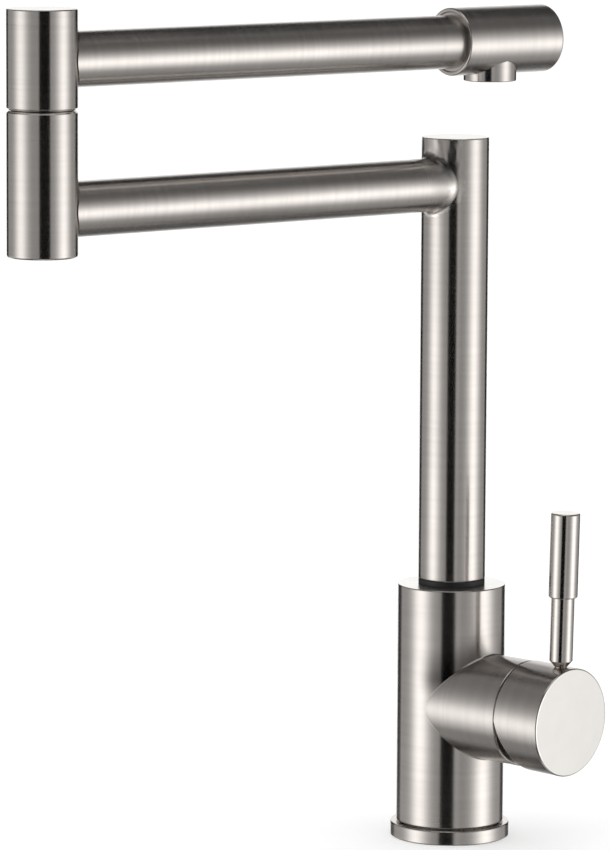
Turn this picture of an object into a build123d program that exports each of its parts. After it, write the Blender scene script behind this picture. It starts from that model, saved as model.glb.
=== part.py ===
from build123d import *
from math import cos, hypot, radians, sin, tan
import os

# A deck-mounted single-lever faucet with a two-joint folding spout, in millimetres.
# The origin is the centre of the foot on the deck, +Z is up and the valve branch points along +X.
# The spout stands as it is parked: the upper arm folded back over the lower one.

# Clearances shared by all pieces
seat_gap = 0.05
turning_fit = 0.05
face_gap = 0.1
loose_gap = 0.3

# Foot
flange_radius = 25.0
flange_height = 6.1
flange_edge = 0.5
gasket_outer = 23.6
gasket_inner = 21.6
gasket_height = 1.5
foot_groove = 0.5

# Body and its valve branch
body_radius = 22.5
body_wall = 2.0
top_plate = 4.0
branch_height = 57.2
body_over_branch = 49.8
branch_radius = 22.0
branch_wall = 2.0
branch_reach = 42.4
rim_edge = 0.4
braze_fillet = 0.5

# Foot block with the hose and stud threads
block_height = 16.0
block_edge = 0.8
hose_thread_radius = 4.5
hose_thread_depth = 10.0
hose_side = 6.0
hose_back = 7.5
stud_thread_radius = 3.4
stud_thread_depth = 13.0
stud_front = 10.0

# Supply tubes from the foot block to the cartridge seat
supply_radius = 4.0
supply_wall = 0.8
supply_socket = 4.0
supply_bend = 11.0
supply_rise = 5.0

# Cartridge seat, brazed into the branch
seat_back = 10.0
seat_floor = 5.0
thread_wall = 1.5
mixed_drop = 1.5
mixed_radius = 2.8

# Cartridge, a standard 35 mm one
cartridge_radius = 17.5
cartridge_wall = 2.7
base_height = 3.0
port_radius = 2.6
seal_height = 1.2
seal_width = 1.2
disc_thickness = 3.2
fixed_disc_radius = 14.5
moving_disc_radius = 12.0
disc_flat = 10.6
mixing_depth = 1.6
shut_land = 0.4
driver_height = 4.4
carrier_radius = 14.3
hub_radius = 10.5
hub_reach = 40.0
guide_overlap = 2.4
lid_height = 2.8
nut_height = 4.5
nut_bore = 13.0
nut_slot = 4.0
pivot_reach = 34.0
pin_radius = 1.5
stem_side = 7.0
ball_arm = 7.0
ball_radius = 2.0
ball_neck = 1.4

# Handle: cap, pin lever and how it stands and moves
handle_lean = 1.5
tilt_travel = 15.0
cap_radius = 22.5
cap_wall = 2.2
cap_gap = 0.45
cap_face_reach = 65.7
cap_edge = 0.5
cap_cut_angle = 18.0
boss_radius = 7.5
boss_length = 13.5
lever_set_back = 6.4
pin_lever_radius = 4.8
pin_lever_length = 29.7
pin_lever_taper = 2.6
lever_neck_radius = 2.5
grip_radius = 6.0
grip_length = 34.6
grip_edge = 0.6

# Riser and its swivel in the body
riser_radius = 14.0
riser_wall = 1.5
riser_over_arm = 19.4
riser_edge = 0.5
glide_ring_height = 2.3
glide_ring_inset = 0.15
spigot_radius = 11.0
spigot_bore = 7.5
spigot_length = 31.0
spigot_plug = 12.0
socket_length = 24.0
seal_groove = 2.9
seal_depth = 2.3
riser_seal_drop = 12.0
riser_seal_pitch = 7.0
riser_seal_count = 2
keeper_drop = 26.5
keeper_groove = 4.0
keeper_depth = 1.6
screw_radius = 2.5
screw_tip_radius = 1.5
screw_tip = 1.6
screw_recess = 0.4
screw_key = 1.25

# Arms
spout_heading = -98.8
arm_radius = 11.0
arm_wall = 1.5
arm_length = 210.0
lower_arm_height = 274.6
weld_fillet = 1.6
weld_notch = 0.5

# Elbow barrels and the spindle that joins them
barrel_radius = 14.0
barrel_wall = 1.6
lower_barrel_below_arm = 17.9
lower_barrel_over_arm = 39.5
elbow_gap = 0.4
elbow_notch = 0.8
upper_barrel_below_arm = 19.1
upper_barrel_over_arm = 20.2
barrel_cap = 2.0
barrel_round = 1.0
plug_height = 5.0
washer_height = 0.8
bush_length = 23.4
spindle_radius = 9.5
spindle_bore = 6.5
spindle_length = 30.3
spindle_plug = 6.0
spindle_seal_drop = 6.5
spindle_seal_pitch = 8.0
spindle_seal_count = 2
clip_thickness = 1.2
clip_depth = 1.1
clip_rim = 1.8
clip_opening = 50.0
slip_washer = 1.3

# Spout head, outlet and aerator
head_radius = 14.0
head_wall = 1.6
collar_reach = 206.4
head_length = 50.6
head_end_wall = 2.5
head_edge = 0.5
head_bush_inset = 0.6
outlet_from_collar = 21.9
outlet_radius = 11.0
outlet_drop = 16.8
outlet_wall = 1.7
outlet_height = 11.0
outlet_pocket = 9.2
outlet_passage = 6.8
outlet_edge = 0.4
aerator_wall = 1.6
aerator_inset = 0.3
aerator_key_width = 2.4
aerator_key_depth = 1.0
aerator_washer_height = 1.6
screen_inset = 1.2
screen_thickness = 1.4
screen_hole_radius = 0.6
screen_pitch = 1.9
screen_rings = 3

# Heights that follow from these
body_top = branch_height + body_over_branch
riser_top = lower_arm_height + riser_over_arm
lower_barrel_foot = lower_arm_height - lower_barrel_below_arm
elbow_split = lower_arm_height + lower_barrel_over_arm
upper_arm_height = elbow_split + upper_barrel_below_arm
upper_barrel_top = upper_arm_height + upper_barrel_over_arm

# Reach of the outlet that follows from the collar
outlet_reach = collar_reach + outlet_from_collar

# Planes and axes of the three stacks
body_bore = body_radius - body_wall
branch_bore = branch_radius - branch_wall
body_foot = flange_height + foot_groove
branch_centre = Vector(0, 0, branch_height)
branch_axis = Axis(branch_centre, (1, 0, 0))
branch_side = Plane(origin=branch_centre, x_dir=(1, 0, 0), z_dir=(0, -1, 0))


def across_branch(reach):
    """Plane square to the branch, its local x along +Y and its local y up."""
    return Plane(origin=(reach, 0, branch_height), x_dir=(0, 1, 0), z_dir=(1, 0, 0))


pivot = Vector(pivot_reach, 0, branch_height)
handle_out = Vector(cos(radians(handle_lean)), 0, -sin(radians(handle_lean)))
handle_up = Vector(sin(radians(handle_lean)), 0, cos(radians(handle_lean)))
handle_axis = Axis(pivot, handle_out)
handle_side = Plane(origin=pivot, x_dir=handle_out, z_dir=(0, -1, 0))


def across_handle(reach):
    """Plane square to the handle's own axis, at a reach from the branch's root, local y up."""
    return Plane(origin=pivot + handle_out * (reach - pivot_reach), x_dir=(0, 1, 0), z_dir=handle_out)


heading = Vector(cos(radians(spout_heading)), sin(radians(spout_heading)), 0)
elbow = heading * arm_length
elbow_axis = Axis(elbow, (0, 0, 1))
elbow_side = Plane(origin=elbow, x_dir=heading, z_dir=heading.cross(Vector(0, 0, 1)))
outlet_point = elbow - heading * outlet_reach


def level(point, height):
    """Horizontal plane at a height over the deck, centred over a point."""
    return Plane(origin=(point.X, point.Y, height))


def across_arm(start, height):
    """Plane square to the lower arm's run, at a distance from the riser's axis, facing the elbow."""
    place = heading * start
    return Plane(origin=(place.X, place.Y, height), z_dir=heading)


def across_upper_arm(start, height):
    """Plane square to the upper arm's run, at a distance from the elbow's axis, facing the head."""
    place = elbow - heading * start
    return Plane(origin=(place.X, place.Y, height), z_dir=-heading)


os.makedirs("parts", exist_ok=True)

# Foot block: a welded plug with two hose threads and one stud thread
block_radius = body_bore - seat_gap
with BuildPart() as foot_block:
    with BuildSketch(Plane.XY):
        Circle(block_radius)
    extrude(amount=block_height)
    chamfer(foot_block.edges().group_by(Axis.Z)[-1], block_edge)
    for side in (-1, 1):
        with BuildSketch(Plane.XY):
            with Locations((-hose_back, side * hose_side)):
                Circle(hose_thread_radius)
        extrude(amount=hose_thread_depth, mode=Mode.SUBTRACT)
        with BuildSketch(Plane.XY):
            with Locations((-hose_back, side * hose_side)):
                Circle(supply_radius - supply_wall)
        extrude(amount=block_height, mode=Mode.SUBTRACT)
        with BuildSketch(Plane.XY.offset(block_height - supply_socket)):
            with Locations((-hose_back, side * hose_side)):
                Circle(supply_radius + seat_gap)
        extrude(amount=supply_socket, mode=Mode.SUBTRACT)
    with BuildSketch(Plane.XY):
        with Locations((stud_front, 0)):
            Circle(stud_thread_radius)
    extrude(amount=stud_thread_depth, mode=Mode.SUBTRACT)
foot_block.part.label = "foot_block"
export_step(foot_block.part, "parts/foot_block.step")

# Base flange: a plain ring round the foot block, with a groove for the gasket underneath
with BuildPart() as base_flange:
    with BuildSketch(Plane.XY):
        Circle(flange_radius)
        Circle(block_radius + seat_gap, mode=Mode.SUBTRACT)
    extrude(amount=flange_height)
    chamfer(base_flange.edges().filter_by(GeomType.CIRCLE).sort_by(SortBy.RADIUS)[-2:], flange_edge)
    with BuildSketch(Plane.XY):
        Circle(gasket_outer + seat_gap)
        Circle(gasket_inner - seat_gap, mode=Mode.SUBTRACT)
    extrude(amount=gasket_height + seat_gap, mode=Mode.SUBTRACT)
base_flange.part.label = "base_flange"
export_step(base_flange.part, "parts/base_flange.step")

# Foot gasket
with BuildPart() as foot_gasket:
    with BuildSketch(Plane.XY):
        Circle(gasket_outer)
        Circle(gasket_inner, mode=Mode.SUBTRACT)
    extrude(amount=gasket_height)
foot_gasket.part.label = "foot_gasket"
export_step(foot_gasket.part, "parts/foot_gasket.step")

# Body tube: closed at the top, with a round opening to the valve branch
riser_foot = body_top + glide_ring_height + face_gap
screw_height = riser_foot - keeper_drop
with BuildPart() as body_tube:
    with BuildSketch(Plane.XY.offset(body_foot)):
        Circle(body_radius)
    extrude(amount=body_top - body_foot)
    chamfer(body_tube.edges().filter_by(GeomType.CIRCLE), rim_edge)
    with BuildSketch(Plane.XY.offset(body_foot)):
        Circle(body_bore)
    extrude(amount=body_top - top_plate - body_foot, mode=Mode.SUBTRACT)
    with BuildSketch(across_branch(0)):
        Circle(branch_bore)
    extrude(amount=branch_reach, mode=Mode.SUBTRACT)
    with BuildSketch(Plane.XY.offset(body_top - top_plate)):
        Circle(spigot_radius + loose_gap)
    extrude(amount=top_plate, mode=Mode.SUBTRACT)
    with BuildSketch(Plane(origin=(0, 0, screw_height), z_dir=(0, 1, 0))):
        Circle(screw_radius + seat_gap)
    extrude(amount=body_radius, mode=Mode.SUBTRACT)
body_tube.part.label = "body_tube"
export_step(body_tube.part, "parts/body_tube.step")

# Branch tube: coped and brazed to the body with a small fillet, open at both ends
with BuildPart() as branch_tube:
    with BuildSketch(Plane.XY.offset(branch_height - 2 * branch_radius)):
        Circle(body_radius)
    extrude(amount=4 * branch_radius)
    with BuildSketch(across_branch(0)):
        Circle(branch_radius)
    extrude(amount=branch_reach)
    fillet(branch_tube.edges().filter_by(GeomType.BSPLINE), braze_fillet)
    chamfer(branch_tube.faces().sort_by(Axis.X)[-1].edges(), rim_edge)
    with BuildSketch(Plane.XY.offset(branch_height - 2 * branch_radius)):
        Circle(body_radius + seat_gap)
    extrude(amount=4 * branch_radius, mode=Mode.SUBTRACT)
    with BuildSketch(across_branch(0)):
        Circle(branch_bore)
    extrude(amount=branch_reach, mode=Mode.SUBTRACT)
branch_tube.part.label = "branch_tube"
export_step(branch_tube.part, "parts/branch_tube.step")

# Supply tubes: up from the foot block and round into the back of the cartridge seat
supply_top = branch_height + supply_rise
for name, side in (("supply_tube_cold", -1), ("supply_tube_hot", 1)):
    start = Vector(-hose_back, side * hose_side, block_height - supply_socket)
    corner = Vector(-hose_back, side * hose_side, supply_top)
    end = Vector(seat_back + supply_socket / 2, side * hose_side, supply_top)
    with BuildPart() as supply_tube:
        with BuildLine() as route:
            FilletPolyline(start, corner, end, radius=supply_bend)
        with BuildSketch(Plane(origin=start)):
            Circle(supply_radius)
            Circle(supply_radius - supply_wall, mode=Mode.SUBTRACT)
        sweep(path=route.wires()[0])
    supply_tube.part.label = name
    export_step(supply_tube.part, "parts/" + name + ".step")

# Cartridge seat: a cup brazed into the branch, with two inlets, one outlet and the nut's thread
seat_face = seat_back + seat_floor
base_face = seat_face + base_height
fixed_face = base_face + disc_thickness
moving_back = fixed_face + seat_gap
moving_face = moving_back + disc_thickness
driver_face = moving_face + driver_height
lid_back = pivot_reach - seat_gap - loose_gap
lid_face = lid_back + lid_height
seat_rim = branch_reach - rim_edge
with BuildPart() as cartridge_seat:
    with BuildSketch(across_branch(seat_back)):
        Circle(branch_bore - seat_gap)
    extrude(amount=seat_rim - seat_back)
    with BuildSketch(across_branch(seat_face)):
        Circle(cartridge_radius + seat_gap)
    extrude(amount=seat_rim - seat_face, mode=Mode.SUBTRACT)
    with BuildSketch(across_branch(lid_face)):
        Circle(branch_bore - thread_wall)
    extrude(amount=seat_rim - lid_face, mode=Mode.SUBTRACT)
    for side in (-1, 1):
        with BuildSketch(across_branch(seat_back)):
            with Locations((side * hose_side, supply_rise)):
                Circle(port_radius)
        extrude(amount=seat_floor, mode=Mode.SUBTRACT)
        with BuildSketch(across_branch(seat_back)):
            with Locations((side * hose_side, supply_rise)):
                Circle(supply_radius + seat_gap)
        extrude(amount=supply_socket / 2, mode=Mode.SUBTRACT)
    with BuildSketch(across_branch(seat_back)):
        with Locations((0, -mixed_drop)):
            Circle(mixed_radius)
    extrude(amount=seat_floor, mode=Mode.SUBTRACT)
cartridge_seat.part.label = "cartridge_seat"
export_step(cartridge_seat.part, "parts/cartridge_seat.step")

# Cartridge base: a disc with the three ports and a recess behind each for its seal
ports = [(-hose_side, supply_rise, port_radius), (hose_side, supply_rise, port_radius),
         (0, -mixed_drop, mixed_radius)]
with BuildPart() as cartridge_base:
    with BuildSketch(across_branch(seat_face)):
        Circle(cartridge_radius - cartridge_wall - seat_gap)
    extrude(amount=base_height)
    for port_x, port_y, radius in ports:
        with BuildSketch(across_branch(seat_face)):
            with Locations((port_x, port_y)):
                Circle(radius)
        extrude(amount=base_height, mode=Mode.SUBTRACT)
        with BuildSketch(across_branch(seat_face)):
            with Locations((port_x, port_y)):
                Circle(radius + seal_width + seat_gap)
        extrude(amount=seal_height, mode=Mode.SUBTRACT)
cartridge_base.part.label = "cartridge_base"
export_step(cartridge_base.part, "parts/cartridge_base.step")

# Port seals: three rubber rings between the seat and the cartridge base
with BuildPart() as port_seals:
    for port_x, port_y, radius in ports:
        with BuildSketch(across_branch(seat_face)):
            with Locations((port_x, port_y)):
                Circle(radius + seal_width)
                Circle(radius, mode=Mode.SUBTRACT)
        extrude(amount=seal_height)
port_seals.part.label = "port_seals"
export_step(port_seals.part, "parts/port_seals.step")

# Fixed ceramic disc
with BuildPart() as fixed_disc:
    with BuildSketch(across_branch(base_face)):
        Circle(fixed_disc_radius)
        for port_x, port_y, radius in ports:
            with Locations((port_x, port_y)):
                Circle(radius, mode=Mode.SUBTRACT)
    extrude(amount=disc_thickness)
fixed_disc.part.label = "fixed_disc"
export_step(fixed_disc.part, "parts/fixed_disc.step")

# Moving ceramic disc: flats for its guides, and a round recess that clears both inlets until it is lifted
ball_rise = ball_arm * sin(radians(handle_lean))
with BuildPart() as moving_disc:
    with BuildSketch(across_branch(moving_back)):
        with Locations((0, ball_rise)):
            Circle(moving_disc_radius)
            Rectangle(2 * disc_flat, 2 * moving_disc_radius, mode=Mode.INTERSECT)
    extrude(amount=disc_thickness)
    with BuildSketch(across_branch(moving_back)):
        Circle(hypot(hose_side, supply_rise) - port_radius - shut_land)
    extrude(amount=mixing_depth, mode=Mode.SUBTRACT)
moving_disc.part.label = "moving_disc"
export_step(moving_disc.part, "parts/moving_disc.step")

# Disc driver: moulded block on the moving disc, with a slot for the stem's ball
with BuildPart() as disc_driver:
    with BuildSketch(across_branch(moving_face)):
        with Locations((0, ball_rise)):
            Circle(moving_disc_radius)
            Rectangle(2 * disc_flat, 2 * moving_disc_radius, mode=Mode.INTERSECT)
    extrude(amount=driver_height)
    with BuildSketch(across_branch(moving_face)):
        with Locations((0, ball_rise)):
            Rectangle(2 * (ball_radius + face_gap), 2 * (ball_radius + turning_fit))
    extrude(amount=driver_height, mode=Mode.SUBTRACT)
disc_driver.part.label = "disc_driver"
export_step(disc_driver.part, "parts/disc_driver.step")

# Cartridge housing: cup round the discs, closed by a lid with a round window for the carrier's hub
with BuildPart() as cartridge_housing:
    with BuildSketch(branch_side):
        with BuildLine():
            Polyline((seat_face, cartridge_radius), (lid_face, cartridge_radius),
                     (lid_face, hub_radius + loose_gap), (lid_back, hub_radius + loose_gap),
                     (lid_back, cartridge_radius - cartridge_wall),
                     (seat_face, cartridge_radius - cartridge_wall), close=True)
        make_face()
    revolve(axis=branch_axis)
cartridge_housing.part.label = "cartridge_housing"
export_step(cartridge_housing.part, "parts/cartridge_housing.step")

# Cartridge carrier: a plate that turns in the housing, with guide lugs for the driver and a slotted hub
carrier_back = driver_face + loose_gap
carrier_face = lid_back - face_gap
stem_slot = stem_side + 2 * loose_gap
full_tilt = radians(handle_lean + tilt_travel)
stem_sweep = stem_side / cos(full_tilt) + 2 * (hub_reach - pivot_reach) * tan(full_tilt) + 2 * loose_gap
with BuildPart() as cartridge_carrier:
    with BuildSketch(across_branch(carrier_back)):
        Circle(carrier_radius)
    extrude(amount=carrier_face - carrier_back)
    with BuildSketch(across_branch(carrier_face)):
        Circle(hub_radius)
    extrude(amount=hub_reach - carrier_face)
    with BuildSketch(across_branch(carrier_back - guide_overlap)):
        Circle(carrier_radius)
        Rectangle(2 * (disc_flat + face_gap), 2 * carrier_radius, mode=Mode.SUBTRACT)
    extrude(amount=guide_overlap)
    with BuildSketch(across_branch(carrier_back)):
        Rectangle(stem_slot, stem_sweep)
    extrude(amount=hub_reach - carrier_back, mode=Mode.SUBTRACT)
    with BuildSketch(Plane(origin=pivot, z_dir=(0, 1, 0))):
        Circle(pin_radius + seat_gap)
    extrude(amount=hub_radius, both=True, mode=Mode.SUBTRACT)
cartridge_carrier.part.label = "cartridge_carrier"
export_step(cartridge_carrier.part, "parts/cartridge_carrier.step")

# Pivot pin across the carrier's hub
with BuildPart() as pivot_pin:
    with BuildSketch(Plane(origin=pivot, z_dir=(0, 1, 0))):
        Circle(pin_radius)
    extrude(amount=hub_radius - loose_gap, both=True)
pivot_pin.part.label = "pivot_pin"
export_step(pivot_pin.part, "parts/pivot_pin.step")

# Cartridge nut: slotted ring in the seat's thread, pressing on the housing's lid
with BuildPart() as cartridge_nut:
    with BuildSketch(across_branch(lid_face)):
        Circle(branch_bore - thread_wall - seat_gap)
        Circle(nut_bore, mode=Mode.SUBTRACT)
    extrude(amount=nut_height)
    with BuildSketch(across_branch(lid_face + nut_height / 2)):
        for turn in (0, 90):
            with Locations(Rotation(0, 0, turn)):
                Rectangle(nut_slot, 2 * branch_bore)
    extrude(amount=nut_height / 2, mode=Mode.SUBTRACT)
cartridge_nut.part.label = "cartridge_nut"
export_step(cartridge_nut.part, "parts/cartridge_nut.step")

# Lever stem: square shank on the pivot, with a ball behind it that drives the disc
stem_end = cap_face_reach - cap_wall - loose_gap
with BuildPart() as lever_stem:
    with BuildSketch(across_handle(pivot_reach)):
        Rectangle(stem_side, stem_side)
    extrude(amount=stem_end - pivot_reach)
    chamfer(lever_stem.faces().sort_by(handle_axis)[-1].edges(), rim_edge)
    with BuildSketch(handle_side):
        Circle(stem_side / 2)
    extrude(amount=stem_side / 2, both=True)
    with BuildSketch(handle_side):
        with BuildLine():
            Polyline((0, 0), (-ball_arm, 0), (-ball_arm, ball_neck), (0, ball_neck), close=True)
        make_face()
    revolve(axis=handle_axis)
    with BuildSketch(handle_side):
        with Locations((-ball_arm, 0)):
            Circle(ball_radius)
            Rectangle(2 * ball_radius, ball_radius, align=(Align.CENTER, Align.MAX), mode=Mode.SUBTRACT)
    revolve(axis=handle_axis)
    with BuildSketch(handle_side):
        Circle(pin_radius + turning_fit)
    extrude(amount=stem_side, both=True, mode=Mode.SUBTRACT)
lever_stem.part.label = "lever_stem"
export_step(lever_stem.part, "parts/lever_stem.step")

# Handle cap: turned cup with a boss for the stem, cut slanting at its lower rear edge so that it can tilt
cap_back = branch_reach + cap_gap
cap_bore = cap_radius - cap_wall
lever_point = pivot + handle_out * (cap_face_reach - lever_set_back - pivot_reach)
boss_back = cap_face_reach - cap_wall - boss_length
with BuildPart() as handle_cap:
    with BuildSketch(across_handle(cap_back)):
        Circle(cap_radius)
    extrude(amount=cap_face_reach - cap_back)
    chamfer(handle_cap.faces().sort_by(handle_axis)[-1].edges(), cap_edge)
    with BuildSketch(across_handle(cap_back)):
        Circle(cap_bore)
        Circle(boss_radius, mode=Mode.SUBTRACT)
    extrude(amount=cap_face_reach - cap_wall - cap_back, mode=Mode.SUBTRACT)
    with BuildSketch(across_handle(cap_back)):
        Circle(boss_radius + loose_gap)
    extrude(amount=boss_back - cap_back, mode=Mode.SUBTRACT)
    with BuildSketch(across_handle(boss_back)):
        Rectangle(stem_side + 2 * seat_gap, stem_side + 2 * seat_gap)
    extrude(amount=boss_length, mode=Mode.SUBTRACT)
    with BuildSketch(handle_side):
        with BuildLine():
            rear = cap_back - pivot_reach
            low = -2 * cap_radius
            Polyline((rear, 0), (rear, low), (rear - low * tan(radians(cap_cut_angle)), low), close=True)
        make_face()
    extrude(amount=2 * cap_radius, both=True, mode=Mode.SUBTRACT)
    with BuildSketch(Plane(origin=lever_point, z_dir=handle_up)):
        Circle(lever_neck_radius + seat_gap)
    extrude(amount=2 * cap_radius, mode=Mode.SUBTRACT)
handle_cap.part.label = "handle_cap"
export_step(handle_cap.part, "parts/handle_cap.step")

# Pin lever: one turned rod, its threaded neck clamping the stem through the cap's boss
clamp_end = stem_side / 2 + seat_gap
neck_end = cap_radius + seat_gap
grip_foot = cap_radius + pin_lever_length
grip_top = grip_foot + grip_length
with BuildPart() as pin_lever:
    with BuildSketch(Plane(origin=lever_point, x_dir=handle_out, z_dir=(0, -1, 0))):
        with BuildLine():
            Polyline((0, clamp_end), (lever_neck_radius, clamp_end), (lever_neck_radius, neck_end),
                     (pin_lever_radius, neck_end + pin_lever_taper),
                     (pin_lever_radius, grip_foot - grip_edge), (grip_radius - grip_edge, grip_foot - grip_edge),
                     (grip_radius, grip_foot), (grip_radius, grip_top - grip_edge),
                     (grip_radius - grip_edge, grip_top), (0, grip_top), close=True)
        make_face()
    revolve(axis=Axis(lever_point, handle_up))
pin_lever.part.label = "pin_lever"
export_step(pin_lever.part, "parts/pin_lever.step")

# Swivel socket: thick ring brazed under the body's top plate, in which the spout turns
socket_top = body_top - top_plate
with BuildPart() as swivel_socket:
    with BuildSketch(Plane.XY.offset(socket_top - socket_length)):
        Circle(body_bore - seat_gap)
        Circle(spigot_radius + turning_fit, mode=Mode.SUBTRACT)
    extrude(amount=socket_length)
    with BuildSketch(Plane(origin=(0, 0, screw_height), z_dir=(0, 1, 0))):
        Circle(screw_radius + seat_gap)
    extrude(amount=body_radius, mode=Mode.SUBTRACT)
swivel_socket.part.label = "swivel_socket"
export_step(swivel_socket.part, "parts/swivel_socket.step")

# Glide ring between the body's top face and the riser
with BuildPart() as glide_ring:
    with BuildSketch(Plane.XY.offset(body_top)):
        Circle(riser_radius - glide_ring_inset)
        Circle(spigot_radius + face_gap, mode=Mode.SUBTRACT)
    extrude(amount=glide_ring_height)
glide_ring.part.label = "glide_ring"
export_step(glide_ring.part, "parts/glide_ring.step")

# Swivel set screw at the back of the body, its tip in the spigot's keeper groove
screw_end = body_radius - screw_recess
screw_shoulder = spigot_radius + turning_fit + loose_gap
with BuildPart() as swivel_set_screw:
    with BuildSketch(Plane(origin=(0, screw_shoulder, screw_height), z_dir=(0, 1, 0))):
        Circle(screw_radius)
    extrude(amount=screw_end - screw_shoulder)
    with BuildSketch(Plane(origin=(0, screw_shoulder, screw_height), z_dir=(0, -1, 0))):
        Circle(screw_tip_radius)
    extrude(amount=screw_tip)
    with BuildSketch(Plane(origin=(0, screw_end, screw_height), z_dir=(0, -1, 0))):
        RegularPolygon(screw_key, 6)
    extrude(amount=2 * screw_key, mode=Mode.SUBTRACT)
swivel_set_screw.part.label = "swivel_set_screw"
export_step(swivel_set_screw.part, "parts/swivel_set_screw.step")

# Riser tube: closed at the top, open to the lower arm
with BuildPart() as riser_tube:
    with BuildSketch(Plane.XY.offset(riser_foot)):
        Circle(riser_radius)
    extrude(amount=riser_top - riser_foot)
    chamfer(riser_tube.edges().filter_by(GeomType.CIRCLE), riser_edge)
    with BuildSketch(Plane.XY.offset(riser_foot)):
        Circle(riser_radius - riser_wall)
    extrude(amount=riser_top - riser_foot - barrel_cap, mode=Mode.SUBTRACT)
    with BuildSketch(across_arm(0, lower_arm_height)):
        Circle(arm_radius - arm_wall)
    extrude(amount=riser_radius, mode=Mode.SUBTRACT)
riser_tube.part.label = "riser_tube"
export_step(riser_tube.part, "parts/riser_tube.step")

# Riser spigot: machined end of the riser, with grooves for two seals and for the set screw
with BuildPart() as riser_spigot:
    with BuildSketch(Plane.XY.offset(riser_foot)):
        Circle(riser_radius - riser_wall - seat_gap)
    extrude(amount=spigot_plug)
    with BuildSketch(Plane.XY.offset(riser_foot - spigot_length)):
        Circle(spigot_radius)
    extrude(amount=spigot_length)
    chamfer(riser_spigot.edges().group_by(Axis.Z)[0], rim_edge)
    for index in range(riser_seal_count):
        groove_height = riser_foot - riser_seal_drop - index * riser_seal_pitch
        with BuildSketch(Plane.XY.offset(groove_height - seal_groove / 2)):
            Circle(spigot_radius)
            Circle(spigot_radius - seal_depth, mode=Mode.SUBTRACT)
        extrude(amount=seal_groove, mode=Mode.SUBTRACT)
    with BuildSketch(Plane.XY.offset(screw_height - keeper_groove / 2)):
        Circle(spigot_radius)
        Circle(spigot_radius - keeper_depth, mode=Mode.SUBTRACT)
    extrude(amount=keeper_groove, mode=Mode.SUBTRACT)
    with BuildSketch(Plane.XY.offset(riser_foot - spigot_length)):
        Circle(spigot_bore)
    extrude(amount=spigot_length + spigot_plug, mode=Mode.SUBTRACT)
riser_spigot.part.label = "riser_spigot"
export_step(riser_spigot.part, "parts/riser_spigot.step")

# Riser seals: two rubber rings in the spigot's grooves
with BuildPart() as riser_seals:
    for index in range(riser_seal_count):
        groove_height = riser_foot - riser_seal_drop - index * riser_seal_pitch
        with BuildSketch(Plane.XZ):
            with Locations((spigot_radius - seal_depth / 2, groove_height)):
                Circle(seal_depth / 2 - seat_gap)
        revolve(axis=Axis.Z)
riser_seals.part.label = "riser_seals"
export_step(riser_seals.part, "parts/riser_seals.step")

# Lower arm tube: coped and welded to the riser with a blended fillet, notched where it meets the barrel
with BuildPart() as lower_arm_tube:
    with BuildSketch(level(Vector(0, 0, 0), lower_arm_height - 2 * arm_radius)):
        Circle(riser_radius)
    extrude(amount=4 * arm_radius)
    with BuildSketch(across_arm(0, lower_arm_height)):
        Circle(arm_radius)
    extrude(amount=arm_length)
    fillet(lower_arm_tube.edges().filter_by(GeomType.BSPLINE), weld_fillet)
    with BuildSketch(level(Vector(0, 0, 0), lower_arm_height - 2 * arm_radius)):
        Circle(riser_radius + seat_gap)
    extrude(amount=4 * arm_radius, mode=Mode.SUBTRACT)
    with BuildSketch(level(elbow, lower_arm_height - 2 * arm_radius)):
        Circle(barrel_radius + seat_gap)
    extrude(amount=4 * arm_radius, mode=Mode.SUBTRACT)
    copes = lower_arm_tube.edges().filter_by(GeomType.BSPLINE)
    chamfer(copes.sort_by_distance(elbow + Vector(0, 0, lower_arm_height))[0], weld_notch)
    with BuildSketch(across_arm(0, lower_arm_height)):
        Circle(arm_radius - arm_wall)
    extrude(amount=arm_length, mode=Mode.SUBTRACT)
lower_arm_tube.part.label = "lower_arm_tube"
export_step(lower_arm_tube.part, "parts/lower_arm_tube.step")

# Lower barrel: the long half of the elbow, open to the lower arm and at its foot
lower_barrel_top = elbow_split - elbow_gap / 2
with BuildPart() as lower_barrel:
    with BuildSketch(level(elbow, lower_barrel_foot)):
        Circle(barrel_radius)
    extrude(amount=lower_barrel_top - lower_barrel_foot)
    chamfer(lower_barrel.edges().group_by(Axis.Z)[-1], elbow_notch)
    fillet(lower_barrel.edges().group_by(Axis.Z)[0], barrel_round)
    with BuildSketch(level(elbow, lower_barrel_foot)):
        Circle(barrel_radius - barrel_wall)
    extrude(amount=lower_barrel_top - lower_barrel_foot, mode=Mode.SUBTRACT)
    with BuildSketch(across_arm(arm_length - barrel_radius, lower_arm_height)):
        Circle(arm_radius - arm_wall)
    extrude(amount=barrel_radius, mode=Mode.SUBTRACT)
lower_barrel.part.label = "lower_barrel"
export_step(lower_barrel.part, "parts/lower_barrel.step")

# Lower barrel plug, which closes the elbow from below
barrel_bore = barrel_radius - barrel_wall
with BuildPart() as lower_barrel_plug:
    with BuildSketch(level(elbow, lower_barrel_foot)):
        Circle(barrel_bore - seat_gap)
    extrude(amount=plug_height)
    chamfer(lower_barrel_plug.edges().group_by(Axis.Z)[0], rim_edge)
lower_barrel_plug.part.label = "lower_barrel_plug"
export_step(lower_barrel_plug.part, "parts/lower_barrel_plug.step")

# Elbow bush: bearing and seal bore for the spindle, brazed into the lower barrel
upper_barrel_foot = elbow_split + elbow_gap / 2
bush_top = upper_barrel_foot - face_gap - washer_height
bush_foot = bush_top - bush_length
with BuildPart() as elbow_bush:
    with BuildSketch(level(elbow, bush_foot)):
        Circle(barrel_bore - seat_gap)
        Circle(spindle_radius + turning_fit, mode=Mode.SUBTRACT)
    extrude(amount=bush_length)
elbow_bush.part.label = "elbow_bush"
export_step(elbow_bush.part, "parts/elbow_bush.step")

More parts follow.
